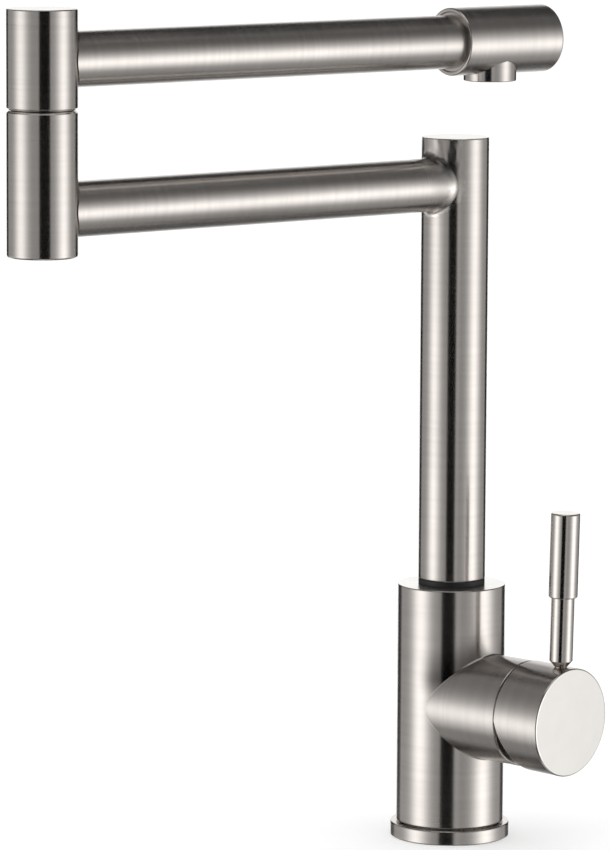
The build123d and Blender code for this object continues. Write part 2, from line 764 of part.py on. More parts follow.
# Elbow washer: the black glide ring between the two barrels
with BuildPart() as elbow_washer:
    with BuildSketch(level(elbow, bush_top)):
        Circle(barrel_bore - loose_gap)
        Circle(spindle_radius + face_gap, mode=Mode.SUBTRACT)
    extrude(amount=washer_height)
elbow_washer.part.label = "elbow_washer"
export_step(elbow_washer.part, "parts/elbow_washer.step")

# Upper barrel: the short half of the elbow, closed at the top and open to the upper arm
with BuildPart() as upper_barrel:
    with BuildSketch(level(elbow, upper_barrel_foot)):
        Circle(barrel_radius)
    extrude(amount=upper_barrel_top - upper_barrel_foot)
    chamfer(upper_barrel.edges().group_by(Axis.Z)[0], elbow_notch)
    chamfer(upper_barrel.edges().group_by(Axis.Z)[-1], riser_edge)
    with BuildSketch(level(elbow, upper_barrel_foot)):
        Circle(barrel_bore)
    extrude(amount=upper_barrel_top - upper_barrel_foot - barrel_cap, mode=Mode.SUBTRACT)
    with BuildSketch(across_upper_arm(0, upper_arm_height)):
        Circle(arm_radius - arm_wall)
    extrude(amount=barrel_radius, mode=Mode.SUBTRACT)
upper_barrel.part.label = "upper_barrel"
export_step(upper_barrel.part, "parts/upper_barrel.step")

# Elbow spindle: hollow shaft fixed in the upper barrel, with grooves for two seals and a clip
clip_top = bush_foot - face_gap - slip_washer
with BuildPart() as elbow_spindle:
    with BuildSketch(level(elbow, upper_barrel_foot)):
        Circle(barrel_bore - seat_gap)
    extrude(amount=spindle_plug)
    with BuildSketch(level(elbow, upper_barrel_foot - spindle_length)):
        Circle(spindle_radius)
    extrude(amount=spindle_length)
    chamfer(elbow_spindle.edges().group_by(Axis.Z)[0], rim_edge)
    for index in range(spindle_seal_count):
        groove_height = upper_barrel_foot - spindle_seal_drop - index * spindle_seal_pitch
        with BuildSketch(level(elbow, groove_height - seal_groove / 2)):
            Circle(spindle_radius)
            Circle(spindle_radius - seal_depth, mode=Mode.SUBTRACT)
        extrude(amount=seal_groove, mode=Mode.SUBTRACT)
    with BuildSketch(level(elbow, clip_top - clip_thickness - seat_gap)):
        Circle(spindle_radius)
        Circle(spindle_radius - clip_depth, mode=Mode.SUBTRACT)
    extrude(amount=clip_thickness + 2 * seat_gap, mode=Mode.SUBTRACT)
    with BuildSketch(level(elbow, upper_barrel_foot - spindle_length)):
        Circle(spindle_bore)
    extrude(amount=spindle_length + spindle_plug, mode=Mode.SUBTRACT)
elbow_spindle.part.label = "elbow_spindle"
export_step(elbow_spindle.part, "parts/elbow_spindle.step")

# Elbow seals: two rubber rings in the spindle's grooves
with BuildPart() as elbow_seals:
    for index in range(spindle_seal_count):
        groove_height = upper_barrel_foot - spindle_seal_drop - index * spindle_seal_pitch
        with BuildSketch(elbow_side):
            with Locations((spindle_radius - seal_depth / 2, groove_height)):
                Circle(seal_depth / 2 - seat_gap)
        revolve(axis=elbow_axis)
elbow_seals.part.label = "elbow_seals"
export_step(elbow_seals.part, "parts/elbow_seals.step")

# Elbow clip: open retaining ring in the spindle's groove
with BuildPart() as elbow_clip:
    with BuildSketch(level(elbow, clip_top - clip_thickness)):
        Circle(spindle_radius + clip_rim)
        Circle(spindle_radius - clip_depth + seat_gap, mode=Mode.SUBTRACT)
        with BuildLine():
            far = 2 * spindle_radius
            half = radians(clip_opening / 2)
            Polyline((0, 0), (far, far * tan(half)), (far, -far * tan(half)), close=True)
        make_face(mode=Mode.SUBTRACT)
    extrude(amount=clip_thickness)
elbow_clip.part.label = "elbow_clip"
export_step(elbow_clip.part, "parts/elbow_clip.step")

# Clip washer: slip washer between the bush and the clip
with BuildPart() as clip_washer:
    with BuildSketch(level(elbow, clip_top)):
        Circle(spindle_radius + clip_rim)
        Circle(spindle_radius + turning_fit, mode=Mode.SUBTRACT)
    extrude(amount=slip_washer)
clip_washer.part.label = "clip_washer"
export_step(clip_washer.part, "parts/clip_washer.step")

# Upper arm tube: coped against the upper barrel, its other end inside the spout head
arm_end = outlet_reach - outlet_radius - 2 * loose_gap
with BuildPart() as upper_arm_tube:
    with BuildSketch(across_upper_arm(0, upper_arm_height)):
        Circle(arm_radius)
    extrude(amount=arm_end)
    with BuildSketch(level(elbow, upper_arm_height - 2 * arm_radius)):
        Circle(barrel_radius + seat_gap)
    extrude(amount=4 * arm_radius, mode=Mode.SUBTRACT)
    chamfer(upper_arm_tube.edges().filter_by(GeomType.BSPLINE), weld_notch)
    with BuildSketch(across_upper_arm(0, upper_arm_height)):
        Circle(arm_radius - arm_wall)
    extrude(amount=arm_end, mode=Mode.SUBTRACT)
upper_arm_tube.part.label = "upper_arm_tube"
export_step(upper_arm_tube.part, "parts/upper_arm_tube.step")

# Spout head: sleeve closed at its far end, open round the arm at its collar and pierced below for the outlet
outlet_foot = upper_arm_height - outlet_drop
with BuildPart() as spout_head:
    with BuildSketch(across_upper_arm(collar_reach, upper_arm_height)):
        Circle(head_radius)
    extrude(amount=head_length)
    chamfer(spout_head.edges().filter_by(GeomType.CIRCLE), head_edge)
    with BuildSketch(across_upper_arm(collar_reach, upper_arm_height)):
        Circle(head_radius - head_wall)
    extrude(amount=head_length - head_end_wall, mode=Mode.SUBTRACT)
    with BuildSketch(level(outlet_point, outlet_foot)):
        Circle(outlet_radius + seat_gap)
    extrude(amount=outlet_height + seat_gap, mode=Mode.SUBTRACT)
spout_head.part.label = "spout_head"
export_step(spout_head.part, "parts/spout_head.step")

# Head bush: ring that centres the arm in the head's collar
with BuildPart() as head_bush:
    with BuildSketch(across_upper_arm(collar_reach + head_bush_inset, upper_arm_height)):
        Circle(head_radius - head_wall - seat_gap)
        Circle(arm_radius + seat_gap, mode=Mode.SUBTRACT)
    extrude(amount=arm_end - collar_reach - head_bush_inset)
head_bush.part.label = "head_bush"
export_step(head_bush.part, "parts/head_bush.step")

# Outlet boss: short ferrule through the underside of the head, with a shoulder over the aerator's pocket
pocket_radius = outlet_radius - outlet_wall
with BuildPart() as outlet_boss:
    with BuildSketch(level(outlet_point, outlet_foot)):
        Circle(outlet_radius)
    extrude(amount=outlet_height)
    chamfer(outlet_boss.edges().group_by(Axis.Z)[0], outlet_edge)
    with BuildSketch(level(outlet_point, outlet_foot)):
        Circle(pocket_radius)
    extrude(amount=outlet_pocket, mode=Mode.SUBTRACT)
    with BuildSketch(level(outlet_point, outlet_foot)):
        Circle(outlet_passage)
    extrude(amount=outlet_height, mode=Mode.SUBTRACT)
outlet_boss.part.label = "outlet_boss"
export_step(outlet_boss.part, "parts/outlet_boss.step")

# Aerator washer, pressed up against the pocket's shoulder
washer_foot = outlet_foot + outlet_pocket - aerator_washer_height
with BuildPart() as aerator_washer:
    with BuildSketch(level(outlet_point, washer_foot)):
        Circle(pocket_radius - seat_gap)
        Circle(outlet_passage, mode=Mode.SUBTRACT)
    extrude(amount=aerator_washer_height)
aerator_washer.part.label = "aerator_washer"
export_step(aerator_washer.part, "parts/aerator_washer.step")

# Aerator housing: threaded sleeve, notched at its lower rim for a key
aerator_foot = outlet_foot + aerator_inset
aerator_bore = pocket_radius - seat_gap - aerator_wall
with BuildPart() as aerator_housing:
    with BuildSketch(level(outlet_point, aerator_foot)):
        Circle(pocket_radius - seat_gap)
        Circle(aerator_bore, mode=Mode.SUBTRACT)
    extrude(amount=washer_foot - aerator_foot)
    with BuildSketch(level(outlet_point, aerator_foot)):
        for turn in (0, 90):
            with Locations(Rotation(0, 0, turn)):
                Rectangle(aerator_key_width, 2 * pocket_radius)
    extrude(amount=aerator_key_depth, mode=Mode.SUBTRACT)
aerator_housing.part.label = "aerator_housing"
export_step(aerator_housing.part, "parts/aerator_housing.step")

# Aerator screen: moulded disc with rings of jet holes
with BuildPart() as aerator_screen:
    with BuildSketch(level(outlet_point, aerator_foot + screen_inset)):
        Circle(aerator_bore - seat_gap)
        Circle(screen_hole_radius, mode=Mode.SUBTRACT)
        for ring in range(1, screen_rings + 1):
            with PolarLocations(ring * screen_pitch, 6 * ring):
                Circle(screen_hole_radius, mode=Mode.SUBTRACT)
    extrude(amount=screen_thickness)
aerator_screen.part.label = "aerator_screen"
export_step(aerator_screen.part, "parts/aerator_screen.step")
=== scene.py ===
import logging
from dataclasses import dataclass
from enum import Enum
from math import acos, atan2, cos, pi, radians, sin, tan
from typing import Iterable, Optional, Sequence

import bpy
import numpy as np
from mathutils import Matrix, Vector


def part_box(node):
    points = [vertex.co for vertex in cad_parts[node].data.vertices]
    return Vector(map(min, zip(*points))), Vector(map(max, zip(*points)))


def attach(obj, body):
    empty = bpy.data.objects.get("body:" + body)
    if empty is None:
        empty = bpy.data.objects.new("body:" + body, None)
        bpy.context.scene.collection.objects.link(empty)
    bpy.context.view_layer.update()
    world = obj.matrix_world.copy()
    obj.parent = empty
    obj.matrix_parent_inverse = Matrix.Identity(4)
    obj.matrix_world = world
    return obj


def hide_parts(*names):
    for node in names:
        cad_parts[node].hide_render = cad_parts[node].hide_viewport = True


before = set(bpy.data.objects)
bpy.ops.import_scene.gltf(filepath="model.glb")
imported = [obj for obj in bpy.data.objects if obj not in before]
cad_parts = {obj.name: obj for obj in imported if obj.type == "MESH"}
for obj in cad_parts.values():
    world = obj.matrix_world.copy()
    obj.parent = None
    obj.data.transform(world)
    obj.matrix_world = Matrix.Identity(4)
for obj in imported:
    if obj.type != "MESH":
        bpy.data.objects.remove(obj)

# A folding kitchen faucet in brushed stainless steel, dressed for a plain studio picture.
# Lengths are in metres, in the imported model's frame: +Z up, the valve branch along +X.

Array = np.ndarray
Pair = tuple[float, float]
Triple = tuple[float, float, float]
Row = tuple[Array, Array]
Socket = bpy.types.NodeSocket
LOG = logging.getLogger("faucet")
UPWARDS = (0.0, 0.0, 1.0)
OUTWARDS = (1.0, 0.0, 0.0)
CAMERA_HEADING = radians(-47.3725)

# What a mesh carries: the wrap and grain of its finish, and the brightness of the tent.
WRAP = "wrap"
GRAIN = "grain"
GLOW = "glow"

# Meshes: angle of a sharp edge, distance at which points are one, least cosine between a flat end and its
# direction, decimals to which columns are told apart.
SHARP_EDGE = radians(35)
SAME_PLACE = 1e-8
FLAT_END = 0.97
ANGLE_DIGITS = 5

# Edges, in their own roundings: straight run beside an edge and at an arm's plain end, part at which a row
# holds the wall straight beside an arc, distance of a quarter round's middle from its two walls.
EDGE_RUN = 4
ARM_END_RUN = 3
HOLD_PARTS = 3
ARC_MIDDLE = 0.3

# Clearance of a fixed piece in its seat, and the small rounding of hidden and fine edges.
SEAT_GAP = 0.00005
FINE_EASE = 0.0002


class Body(Enum):
    """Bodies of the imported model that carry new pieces."""

    BASE = "base"
    LOWER_ARM = "lower_arm"
    UPPER_ARM = "upper_arm"
    HANDLE = "handle"


class Slot(Enum):
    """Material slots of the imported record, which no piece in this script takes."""

    BRUSHED = "brushed_stainless"
    MACHINED = "machined_stainless"
    RUBBER = "black_rubber"
    BEARING = "black_bearing_plastic"


class Coordinates(Enum):
    """Where a finish reads its pattern."""

    GRAIN = "grain"
    OBJECT = "object"


# Surfaces


@dataclass(frozen=True)
class Axle:
    """Straight axis of a round piece.

    Attributes:
        origin: point at reach 0.
        along: unit vector of the axis.
        side: unit vector from which the turn is measured.
    """

    origin: Triple
    along: Triple
    side: Triple

    def place(self, radius: Array, turn: Array, reach: Array) -> Array:
        """Cylinder coordinates to points: origin + reach along + radius (cos turn side + sin turn cross).

        Args:
            radius: distance from the axis.
            turn: angle from side, right-handed about the axis.
            reach: distance along the axis.

        Returns:
            Array of points, the shape of the three broadcast together with 3 at the end.
        """
        along, side = np.array(self.along), np.array(self.side)
        cross = np.cross(along, side)
        across = np.multiply.outer(np.cos(turn), side) + np.multiply.outer(np.sin(turn), cross)
        radius, reach = np.asarray(radius)[..., None], np.asarray(reach)[..., None]
        return np.array(self.origin) + radius * across + reach * along

    def place_rows(self, rows: Sequence[Row], turn: Array) -> Row:
        """Points of rows that go round the axle.

        Args:
            rows: (radius, reach) arrays, one pair for each row.
            turn: column angles.

        Returns:
            Rows x columns x 3 array of points, and rows x columns array of their reaches.
        """
        radius, reach = (np.stack([row[part] for row in rows]) for part in range(2))
        return self.place(radius, np.broadcast_to(turn, radius.shape), reach), reach


def level_axle(origin: Triple, heading: float = 0.0) -> Axle:
    """Level axle from a point in a direction from +X, its turn measured from above."""
    return Axle(origin, (cos(heading), sin(heading), 0.0), UPWARDS)


def upright_axle(x: float, y: float) -> Axle:
    """Vertical axle through a place on the deck, its reach the height over the deck."""
    return Axle((x, y, 0.0), UPWARDS, OUTWARDS)


@dataclass
class Sheet:
    """Grid of points that is closed round its columns.

    Attributes:
        points: rows x columns x 3 array.
        run: (rows + 1) x columns array, distance along each column; the last row closes a ring.
        turn: columns + 1 values, the angle round the axis.
        ring: True where the last row joins the first.
        gauge: radius that turns an angle into a length on the wrap.
    """

    points: Array
    run: Array
    turn: Array
    ring: bool
    gauge: float

    def corners(self) -> tuple[Array, Array, Array]:
        """Faces between neighbouring rows and columns, with a row of one repeated point made a pole.

        Returns:
            Faces x 4 vertex numbers, faces x 4 x 2 wrap places, and faces x 4 flags of corners to keep.
        """
        rows, columns = self.points.shape[:2]
        index = np.arange(rows * columns).reshape(rows, columns)
        pole = np.ptp(self.points, axis=1).max(axis=1) < SAME_PLACE
        index[pole] = index[pole][:, :1]
        low = np.arange(rows if self.ring else rows - 1)
        high = (low + 1) % rows
        here = np.arange(columns)
        there = (here + 1) % columns
        faces = np.stack([index[low][:, here], index[low][:, there],
                          index[high][:, there], index[high][:, here]], axis=-1)
        first = np.broadcast_to(self.turn[:-1] * self.gauge, faces.shape[:2])
        second = np.broadcast_to(self.turn[1:] * self.gauge, faces.shape[:2])
        middle = (first + second) / 2
        flat_low, flat_high = pole[low][:, None], pole[high][:, None]
        around = np.stack([np.where(flat_low, middle, first), np.where(flat_low, middle, second),
                           np.where(flat_high, middle, second), np.where(flat_high, middle, first)], axis=-1)
        up = self.run[low + 1]
        down = self.run[low]
        along = np.stack([down[:, here], down[:, there], up[:, there], up[:, here]], axis=-1)
        keep = np.ones(faces.shape, bool)
        keep[..., 1] = ~flat_low
        keep[..., 3] = ~flat_high
        whole = keep.sum(axis=-1).reshape(-1) >= 3
        wrap = np.stack([along, around], axis=-1).reshape(-1, 4, 2)
        return faces.reshape(-1, 4)[whole], wrap[whole], keep.reshape(-1, 4)[whole]

    def grain(self) -> Array:
        """Pattern place of each point: the wrap rolled up again, so that it has no seam.

        Returns:
            Points x 3 array (gauge cos turn, gauge sin turn, run).
        """
        rows, columns = self.points.shape[:2]
        turn = np.broadcast_to(self.turn[:-1], (rows, columns))
        rolled = np.stack([self.gauge * np.cos(turn), self.gauge * np.sin(turn), self.run[:-1]], axis=-1)
        return rolled.reshape(-1, 3)


def sheet_of(points: Array, turn: Array, ring: bool, gauge: float,
             reach: Optional[Array] = None, anchor: int = 0) -> Sheet:
    """Sheet whose run is the distance walked from row to row, anchored to the reach of one row.

    Args:
        points: rows x columns x 3 array.
        turn: one angle for each column, rising, within a full turn.
        ring: whether the last row joins the first.
        gauge: radius for the wrap.
        reach: rows x columns distances along the axis; None anchors to zero.
        anchor: row whose run is its reach.

    Returns:
        The sheet.
    """
    steps = np.linalg.norm(np.roll(points, -1, axis=0) - points, axis=-1)
    run = np.concatenate([np.zeros((1, points.shape[1])), np.cumsum(steps, axis=0)])
    if reach is not None:
        rising = 1.0 if reach[anchor + 1].mean() >= reach[anchor].mean() else -1.0
        run = rising * (run - run[anchor]) + reach[anchor]
    closed_turn = np.append(turn, turn[0] + 2 * pi)
    return Sheet(points, run, closed_turn, ring, gauge)


def even_turn(columns: int) -> Array:
    """Angles of evenly spaced columns."""
    return np.arange(columns) * 2 * pi / columns


def eased(corners: Sequence[tuple[float, ...]], ring: bool = False, steps: int = 4) -> Array:
    """Profile through corners, each rounded by an arc that touches both of its runs.

    The arc's centre lies on the corner's bisector at rounding / sin(half the corner's angle). A row is
    added on each side of an arc, so that the shading of the straight runs stays straight.

    Args:
        corners: (radius, reach) or (radius, reach, rounding) of each corner.
        ring: whether the last corner joins the first.
        steps: steps in each arc.

    Returns:
        Rows x 2 array of radius and reach.
    """
    count = len(corners)
    rows: list[Array] = []
    for number, corner in enumerate(corners):
        here = np.array(corner[:2], float)
        ease = corner[2] if len(corner) > 2 else 0.0
        if ease == 0.0 or (not ring and number in (0, count - 1)):
            rows.append(here[None])
            continue
        before = np.array(corners[number - 1][:2]) - here
        after = np.array(corners[(number + 1) % count][:2]) - here
        before, after = before / np.linalg.norm(before), after / np.linalg.norm(after)
        half = acos(float(np.clip(before @ after, -1, 1))) / 2
        cut = ease / tan(half)
        bisector = (before + after) / np.linalg.norm(before + after)
        centre = here + bisector * ease / sin(half)
        first, last = here + before * cut - centre, here + after * cut - centre
        start = atan2(first[1], first[0])
        sweep = (atan2(last[1], last[0]) - start + pi) % (2 * pi) - pi
        angle = start + sweep * np.linspace(0, 1, steps + 1)
        arc = centre + ease * np.stack([np.cos(angle), np.sin(angle)], axis=-1)
        held = cut + ease / HOLD_PARTS
        rows += [here[None] + before * held, arc, here[None] + after * held]
    return np.concatenate(rows)


def turned(axle: Axle, profile: Array, gauge: float, ring: bool = True, columns: int = 144,
           anchor: int = 0) -> Sheet:
    """Surface of revolution: every row of the profile goes round the axle at its own radius and reach.

    Args:
        axle: axis of the piece.
        profile: rows x 2 array of radius and reach.
        gauge: radius for the wrap.
        ring: whether the profile is a closed ring; otherwise it starts and ends on the axis.
        columns: columns round.
        anchor: row whose run is its reach.

    Returns:
        The sheet.
    """
    turn = even_turn(columns)
    radius, reach = profile[:, :1], profile[:, 1:]
    return sheet_of(axle.place(radius, turn, reach), turn, ring, gauge, reach, anchor)


def ring_profile(bore: float, outer: float, foot: float, top: float,
                 eases: Sequence[float] = (0.0, 0.0, 0.0, 0.0)) -> Array:
    """Profile of a square ring.

    Args:
        bore: inner radius.
        outer: outer radius.
        foot: reach of its one face.
        top: reach of its other face.
        eases: roundings, from the foot of the bore outwards and round to its top.

    Returns:
        Rows x 2 array.
    """
    corners = ((bore, foot), (outer, foot), (outer, top), (bore, top))
    return eased([(*corner, ease) for corner, ease in zip(corners, eases)], ring=True)


def level_rows(profile: Iterable[Sequence[float]], columns: int) -> list[Row]:
    """Rows that keep one radius and one reach all round, one for each (radius, reach) of a profile."""
    return [(np.full(columns, radius), np.full(columns, reach)) for radius, reach in profile]


def edge_steps(outer: float, inner: float, ease: float) -> tuple[Triple, ...]:
    """Steps over the eased edge of a wall, from its outer side to its inner one.

    Args:
        outer: outer radius.
        inner: inner radius.
        ease: rounding of the outer edge.

    Returns:
        (radius, how far the rounding holds the edge back there, straight run before it) of each step.
    """
    return ((outer, ease, ease / 2), (outer, ease, 0.0),
            (outer - ARC_MIDDLE * ease, ARC_MIDDLE * ease, 0.0), (outer - ease, 0.0, 0.0),
            (inner, 0.0, 0.0))


@dataclass(frozen=True)
class SideHole:
    """Round hole through one side of a tube's wall, square to the tube's axis.

    Attributes:
        reach: place of the hole's centre along the tube.
        heading: its angle round the tube.
        radius: radius of the hole.
        ease: rounding of its outer rim.
    """

    reach: float
    heading: float
    radius: float
    ease: float = FINE_EASE

    def half_height(self, turn: Array, wall: float, wider: float = 0.0) -> Array:
        """Half the hole's height at each angle: the hole's circle over the wall's distance sideways.

        Args:
            turn: angles round the tube.
            wall: radius of the wall that the hole is seen in.
            wider: extra radius of the hole.

        Returns:
            sqrt((radius + wider)^2 - (wall sin angle)^2) on the hole's own side, and zero elsewhere.
        """
        sideways = wall * np.sin(turn - self.heading)
        facing = np.cos(turn - self.heading) > 0
        return np.sqrt(np.clip((self.radius + wider) ** 2 - sideways ** 2, 0, None)) * facing

    def angles(self, wall: float, count: int = 48) -> Array:
        """Column angles that follow the hole's rim evenly.

        Args:
            wall: radius of the wall.
            count: columns across the hole.

        Returns:
            heading + arcsin(radius / wall sin s) for evenly spaced s from -90 to 90 degrees.
        """
        share = np.sin(np.linspace(-pi / 2, pi / 2, count))
        return self.heading + np.arcsin(np.clip(share * self.radius / wall, -1, 1))

    def rim(self, turn: Array, outer: float, inner: float, side: int) -> list[Row]:
        """Rows of a shell's end at this hole, from the outer wall over the rim to the inner wall.

        Args:
            turn: column angles.
            outer: outer radius of the tube.
            inner: inner radius of the tube.
            side: -1 for the shell below the hole, 1 for the one above it.

        Returns:
            (radius, reach) arrays, one pair for each row.
        """
        return [(np.full(len(turn), wall),
                 self.reach + side * (self.half_height(turn, wall, held) + run))
                for wall, held, run in edge_steps(outer, inner, self.ease)]


def pierced(axle: Axle, outer: float, inner: float, foot: Array, top: Array,
            holes: Sequence[SideHole], columns: int = 144, between: int = 0) -> list[Sheet]:
    """Tube with round holes in its side, as closed shells stacked along its axis.

    The tube is cut at each hole's height. A shell ends on the hole's rim where there is a hole, and flat
    where there is none, so that two neighbours meet without a gap.

    Args:
        axle: axis of the tube.
        outer: outer radius.
        inner: inner radius.
        foot: profile of the foot from the inner wall to the outer one.
        top: profile of the top from the outer wall to the inner one.
        holes: the holes, from the lowest up.
        columns: evenly spaced columns, to which those of the holes are added.
        between: extra rows on the outer wall of each shell.

    Returns:
        One sheet for each shell.
    """
    parts = [even_turn(columns)]
    for hole in holes:
        parts += [hole.angles(outer) % (2 * pi), hole.angles(inner) % (2 * pi)]
    turn = np.unique(np.round(np.concatenate(parts), ANGLE_DIGITS))
    shells: list[Sheet] = []
    lower = level_rows(foot, len(turn))
    for hole in [*holes, None]:
        upper = hole.rim(turn, outer, inner, -1) if hole else level_rows(top, len(turn))
        shares = np.linspace(0, 1, between + 2)[1:-1]
        wall = [tuple(a + (b - a) * share for a, b in zip(lower[-1], upper[0])) for share in shares]
        points, reach = axle.place_rows([*lower, *wall, *upper], turn)
        shells.append(sheet_of(points, turn, True, outer, reach, len(lower) - 1))
        if hole:
            lower = hole.rim(turn, outer, inner, 1)[::-1]
    return shells


def open_end(inner: float, outer: float, end: float, ease: float, run: int = EDGE_RUN) -> Array:
    """Profile of a tube's open end, from the inner wall to the outer one.

    Args:
        inner: inner radius.
        outer: outer radius.
        end: reach of the end.
        ease: rounding of the outer edge; the inner one has half of it.
        run: straight run into the tube, in roundings, less than 0 where the tube lies before its end.

    Returns:
        Rows x 2 array.
    """
    inside = end + run * ease
    return eased([(inner, inside), (inner, end, ease / 2), (outer, end, ease), (outer, inside)])


def closed_end(outer: float, inner: float, end: float, plate: float, ease: float) -> Array:
    """Profile of a tube's closed end, from the outer wall over its flat face to the inner wall.

    Args:
        outer: outer radius.
        inner: inner radius.
        end: reach of the flat face.
        plate: thickness of the end.
        ease: rounding of the edge.

    Returns:
        Rows x 2 array.
    """
    face = eased([(outer, end - EDGE_RUN * ease), (outer, end, ease), (0.0, end)])
    return np.concatenate([face, [(0.0, end - plate), (inner, end - plate)]])


def notched_end(outer: float, inner: float, end: float, notch: float, inside: float) -> Array:
    """Profile of a tube's open end with a bevelled outer edge, from the outer wall to the inner one.

    Args:
        outer: outer radius.
        inner: inner radius.
        end: reach of the end.
        notch: width of the bevel, less than 0 where the tube lies beyond its end.
        inside: straight run of the inner wall, with the same sign.

    Returns:
        Rows x 2 array.
    """
    return eased([(outer, end - EDGE_RUN * notch), (outer, end - notch), (outer - abs(notch), end),
                  (inner, end), (inner, end - inside)])


@dataclass(frozen=True)
class Cope:
    """End of an arm that is shaped to a round post.

    Attributes:
        post: radius of the post.
        fillet: radius of the ball that rolls in the corner between arm and post, or zero.
        waver: share by which that radius varies round a hand-finished weld.
        waves: waves of that change, each with its number round the arm, its phase and its share.
        notch: bevel of the arm's edge where there is no fillet.
        gap: clearance to the post.
    """

    post: float
    fillet: float = 0.0
    waver: float = 0.0
    waves: tuple[Triple, ...] = ((3.0, 0.6, 1.0), (7.0, 2.0, 0.6))
    notch: float = 0.0
    gap: float = SEAT_GAP

    def saddle(self, turn: Array, radius: float) -> Array:
        """Distance from the post's axis at which a cylinder of a radius meets the post: a Pythagoras."""
        return np.sqrt((self.post + self.gap) ** 2 - (radius * np.sin(turn)) ** 2)

    def rows(self, turn: Array, arm: float, steps: int = 7) -> Array:
        """Rows from the post to the arm's plain wall, in the arm's (along, cross, side) coordinates.

        With a fillet, a ball of its radius touches both cylinders. Its centre is arm + fillet from the
        arm's axis and post + fillet from the post's, and the rows divide the ball's arc between the two
        touching points. With a notch, the rows are a bevel and a straight run of half its width.

        Args:
            turn: column angles, from the post's own direction.
            arm: radius of the arm.
            steps: steps in the fillet.

        Returns:
            Rows x columns x 3 array.
        """
        zero = np.zeros(len(turn))
        if self.fillet:
            swell = sum(share * np.sin(number * turn + phase) for number, phase, share in self.waves)
            ball = self.fillet * (1 + self.waver * swell)
            far = arm + ball
            centre = np.stack([np.sqrt((self.post + ball) ** 2 - (far * np.sin(turn)) ** 2),
                               far * np.sin(turn), far * np.cos(turn)], axis=-1)
            to_post = -np.stack([centre[:, 0], centre[:, 1], zero], axis=-1) / (self.post + ball)[:, None]
            to_arm = -np.stack([zero, np.sin(turn), np.cos(turn)], axis=-1)
            angle = np.arccos(np.clip((to_post * to_arm).sum(axis=-1), -1, 1))[:, None]
            share = np.linspace(0, 1, steps + 1)[:, None, None]
            swing = (np.sin((1 - share) * angle) * to_post + np.sin(share * angle) * to_arm) / np.sin(angle)
            rows = centre + ball[:, None] * swing
            held = rows[-1] + np.array([self.fillet / HOLD_PARTS, 0, 0])
            return np.concatenate([rows, held[None]])
        inset = arm - self.notch
        places = ((inset, self.saddle(turn, inset)), (arm, self.saddle(turn, arm) + self.notch),
                  (arm, self.saddle(turn, arm) + 1.5 * self.notch))
        return np.stack([np.stack([along, radius * np.sin(turn), radius * np.cos(turn)], axis=-1)
                         for radius, along in places])


def arm_sheet(axle: Axle, arm: float, bore: float, near: Cope, far: Optional[Cope], length: float,
              ease: float = 0.0004, columns: int = 128, between: int = 0) -> Sheet:
    """Round tube from one post to another, or to a plain end, as one closed ring of rows.

    Args:
        axle: axis of the arm from the near post's axis, its side along the posts.
        arm: outer radius.
        bore: inner radius.
        near: shape of the near end.
        far: shape of the far end, or None for a plain end.
        length: distance between the posts' axes, or to the plain end.
        ease: rounding of a plain end.
        columns: columns round.
        between: extra rows on the straight outer wall.

    Returns:
        The sheet.
    """
    turn = even_turn(columns)
    start = near.rows(turn, arm)
    round_arm = np.stack([np.sin(turn), np.cos(turn)], axis=-1)

    def plain(radius: float, along: Array) -> Array:
        """One row of a radius at a distance along the arm."""
        return np.concatenate([np.broadcast_to(along, len(turn))[:, None], radius * round_arm], axis=-1)

    if far is None:
        profile = open_end(bore, arm, length, ease, -ARM_END_RUN)[::-1]
        end = np.stack([plain(radius, np.array(reach)) for radius, reach in profile])
    else:
        end = far.rows(turn, arm)[::-1] * np.array([-1, 1, 1]) + np.array([length, 0, 0])
        end = np.concatenate([end, plain(bore, length - far.saddle(turn, bore))[None]])
    inside = plain(bore, near.saddle(turn, bore))[None]
    share = np.linspace(0, 1, between + 2)[1:-1, None, None]
    wall = start[-1] + (end[0] - start[-1]) * share
    local = np.concatenate([start, wall, end, inside])
    along, side = np.array(axle.along), np.array(axle.side)
    cross = np.cross(along, side)
    points = np.array(axle.origin) + local @ np.stack([along, cross, side])
    return sheet_of(points, turn, True, arm, local[..., 0], len(start) - 1)


def thread_sheet(axle: Axle, bore: float, pitch: float, depth: float, crest: float,
                 steps: int = 48) -> Sheet:
    """Ridge of an inner thread: a triangle carried along a helix inside a bore, fading out at both ends.

    The triangle's foot stands a little in the wall and its tip is blunt.

    Args:
        axle: axis of the bore.
        bore: radius of the bore.
        pitch: rise of the helix in one turn.
        depth: length of the thread.
        crest: height of the ridge.
        steps: rows in one turn.

    Returns:
        The sheet, its rows along the helix and its columns round the triangle.
    """
    turns = depth / pitch - 1
    walk = np.linspace(0, turns * 2 * pi, int(turns * steps))
    fade = np.clip(np.minimum(walk, walk[-1] - walk) / pi, 0, 1)[:, None]
    sunk, foot, tip = 0.02, 0.42, 0.06
    section = np.array([[sunk, -foot], [-1.0, -tip], [-1.0, tip], [sunk, foot]])
    radius = bore + fade * crest * section[:, 0]
    reach = pitch * (0.5 + walk[:, None] / (2 * pi)) + fade * pitch * section[:, 1]
    points = axle.place(radius, np.broadcast_to(walk[:, None], radius.shape), reach)
    return sheet_of(points, even_turn(len(section)), False, pitch / 2)


# Pieces


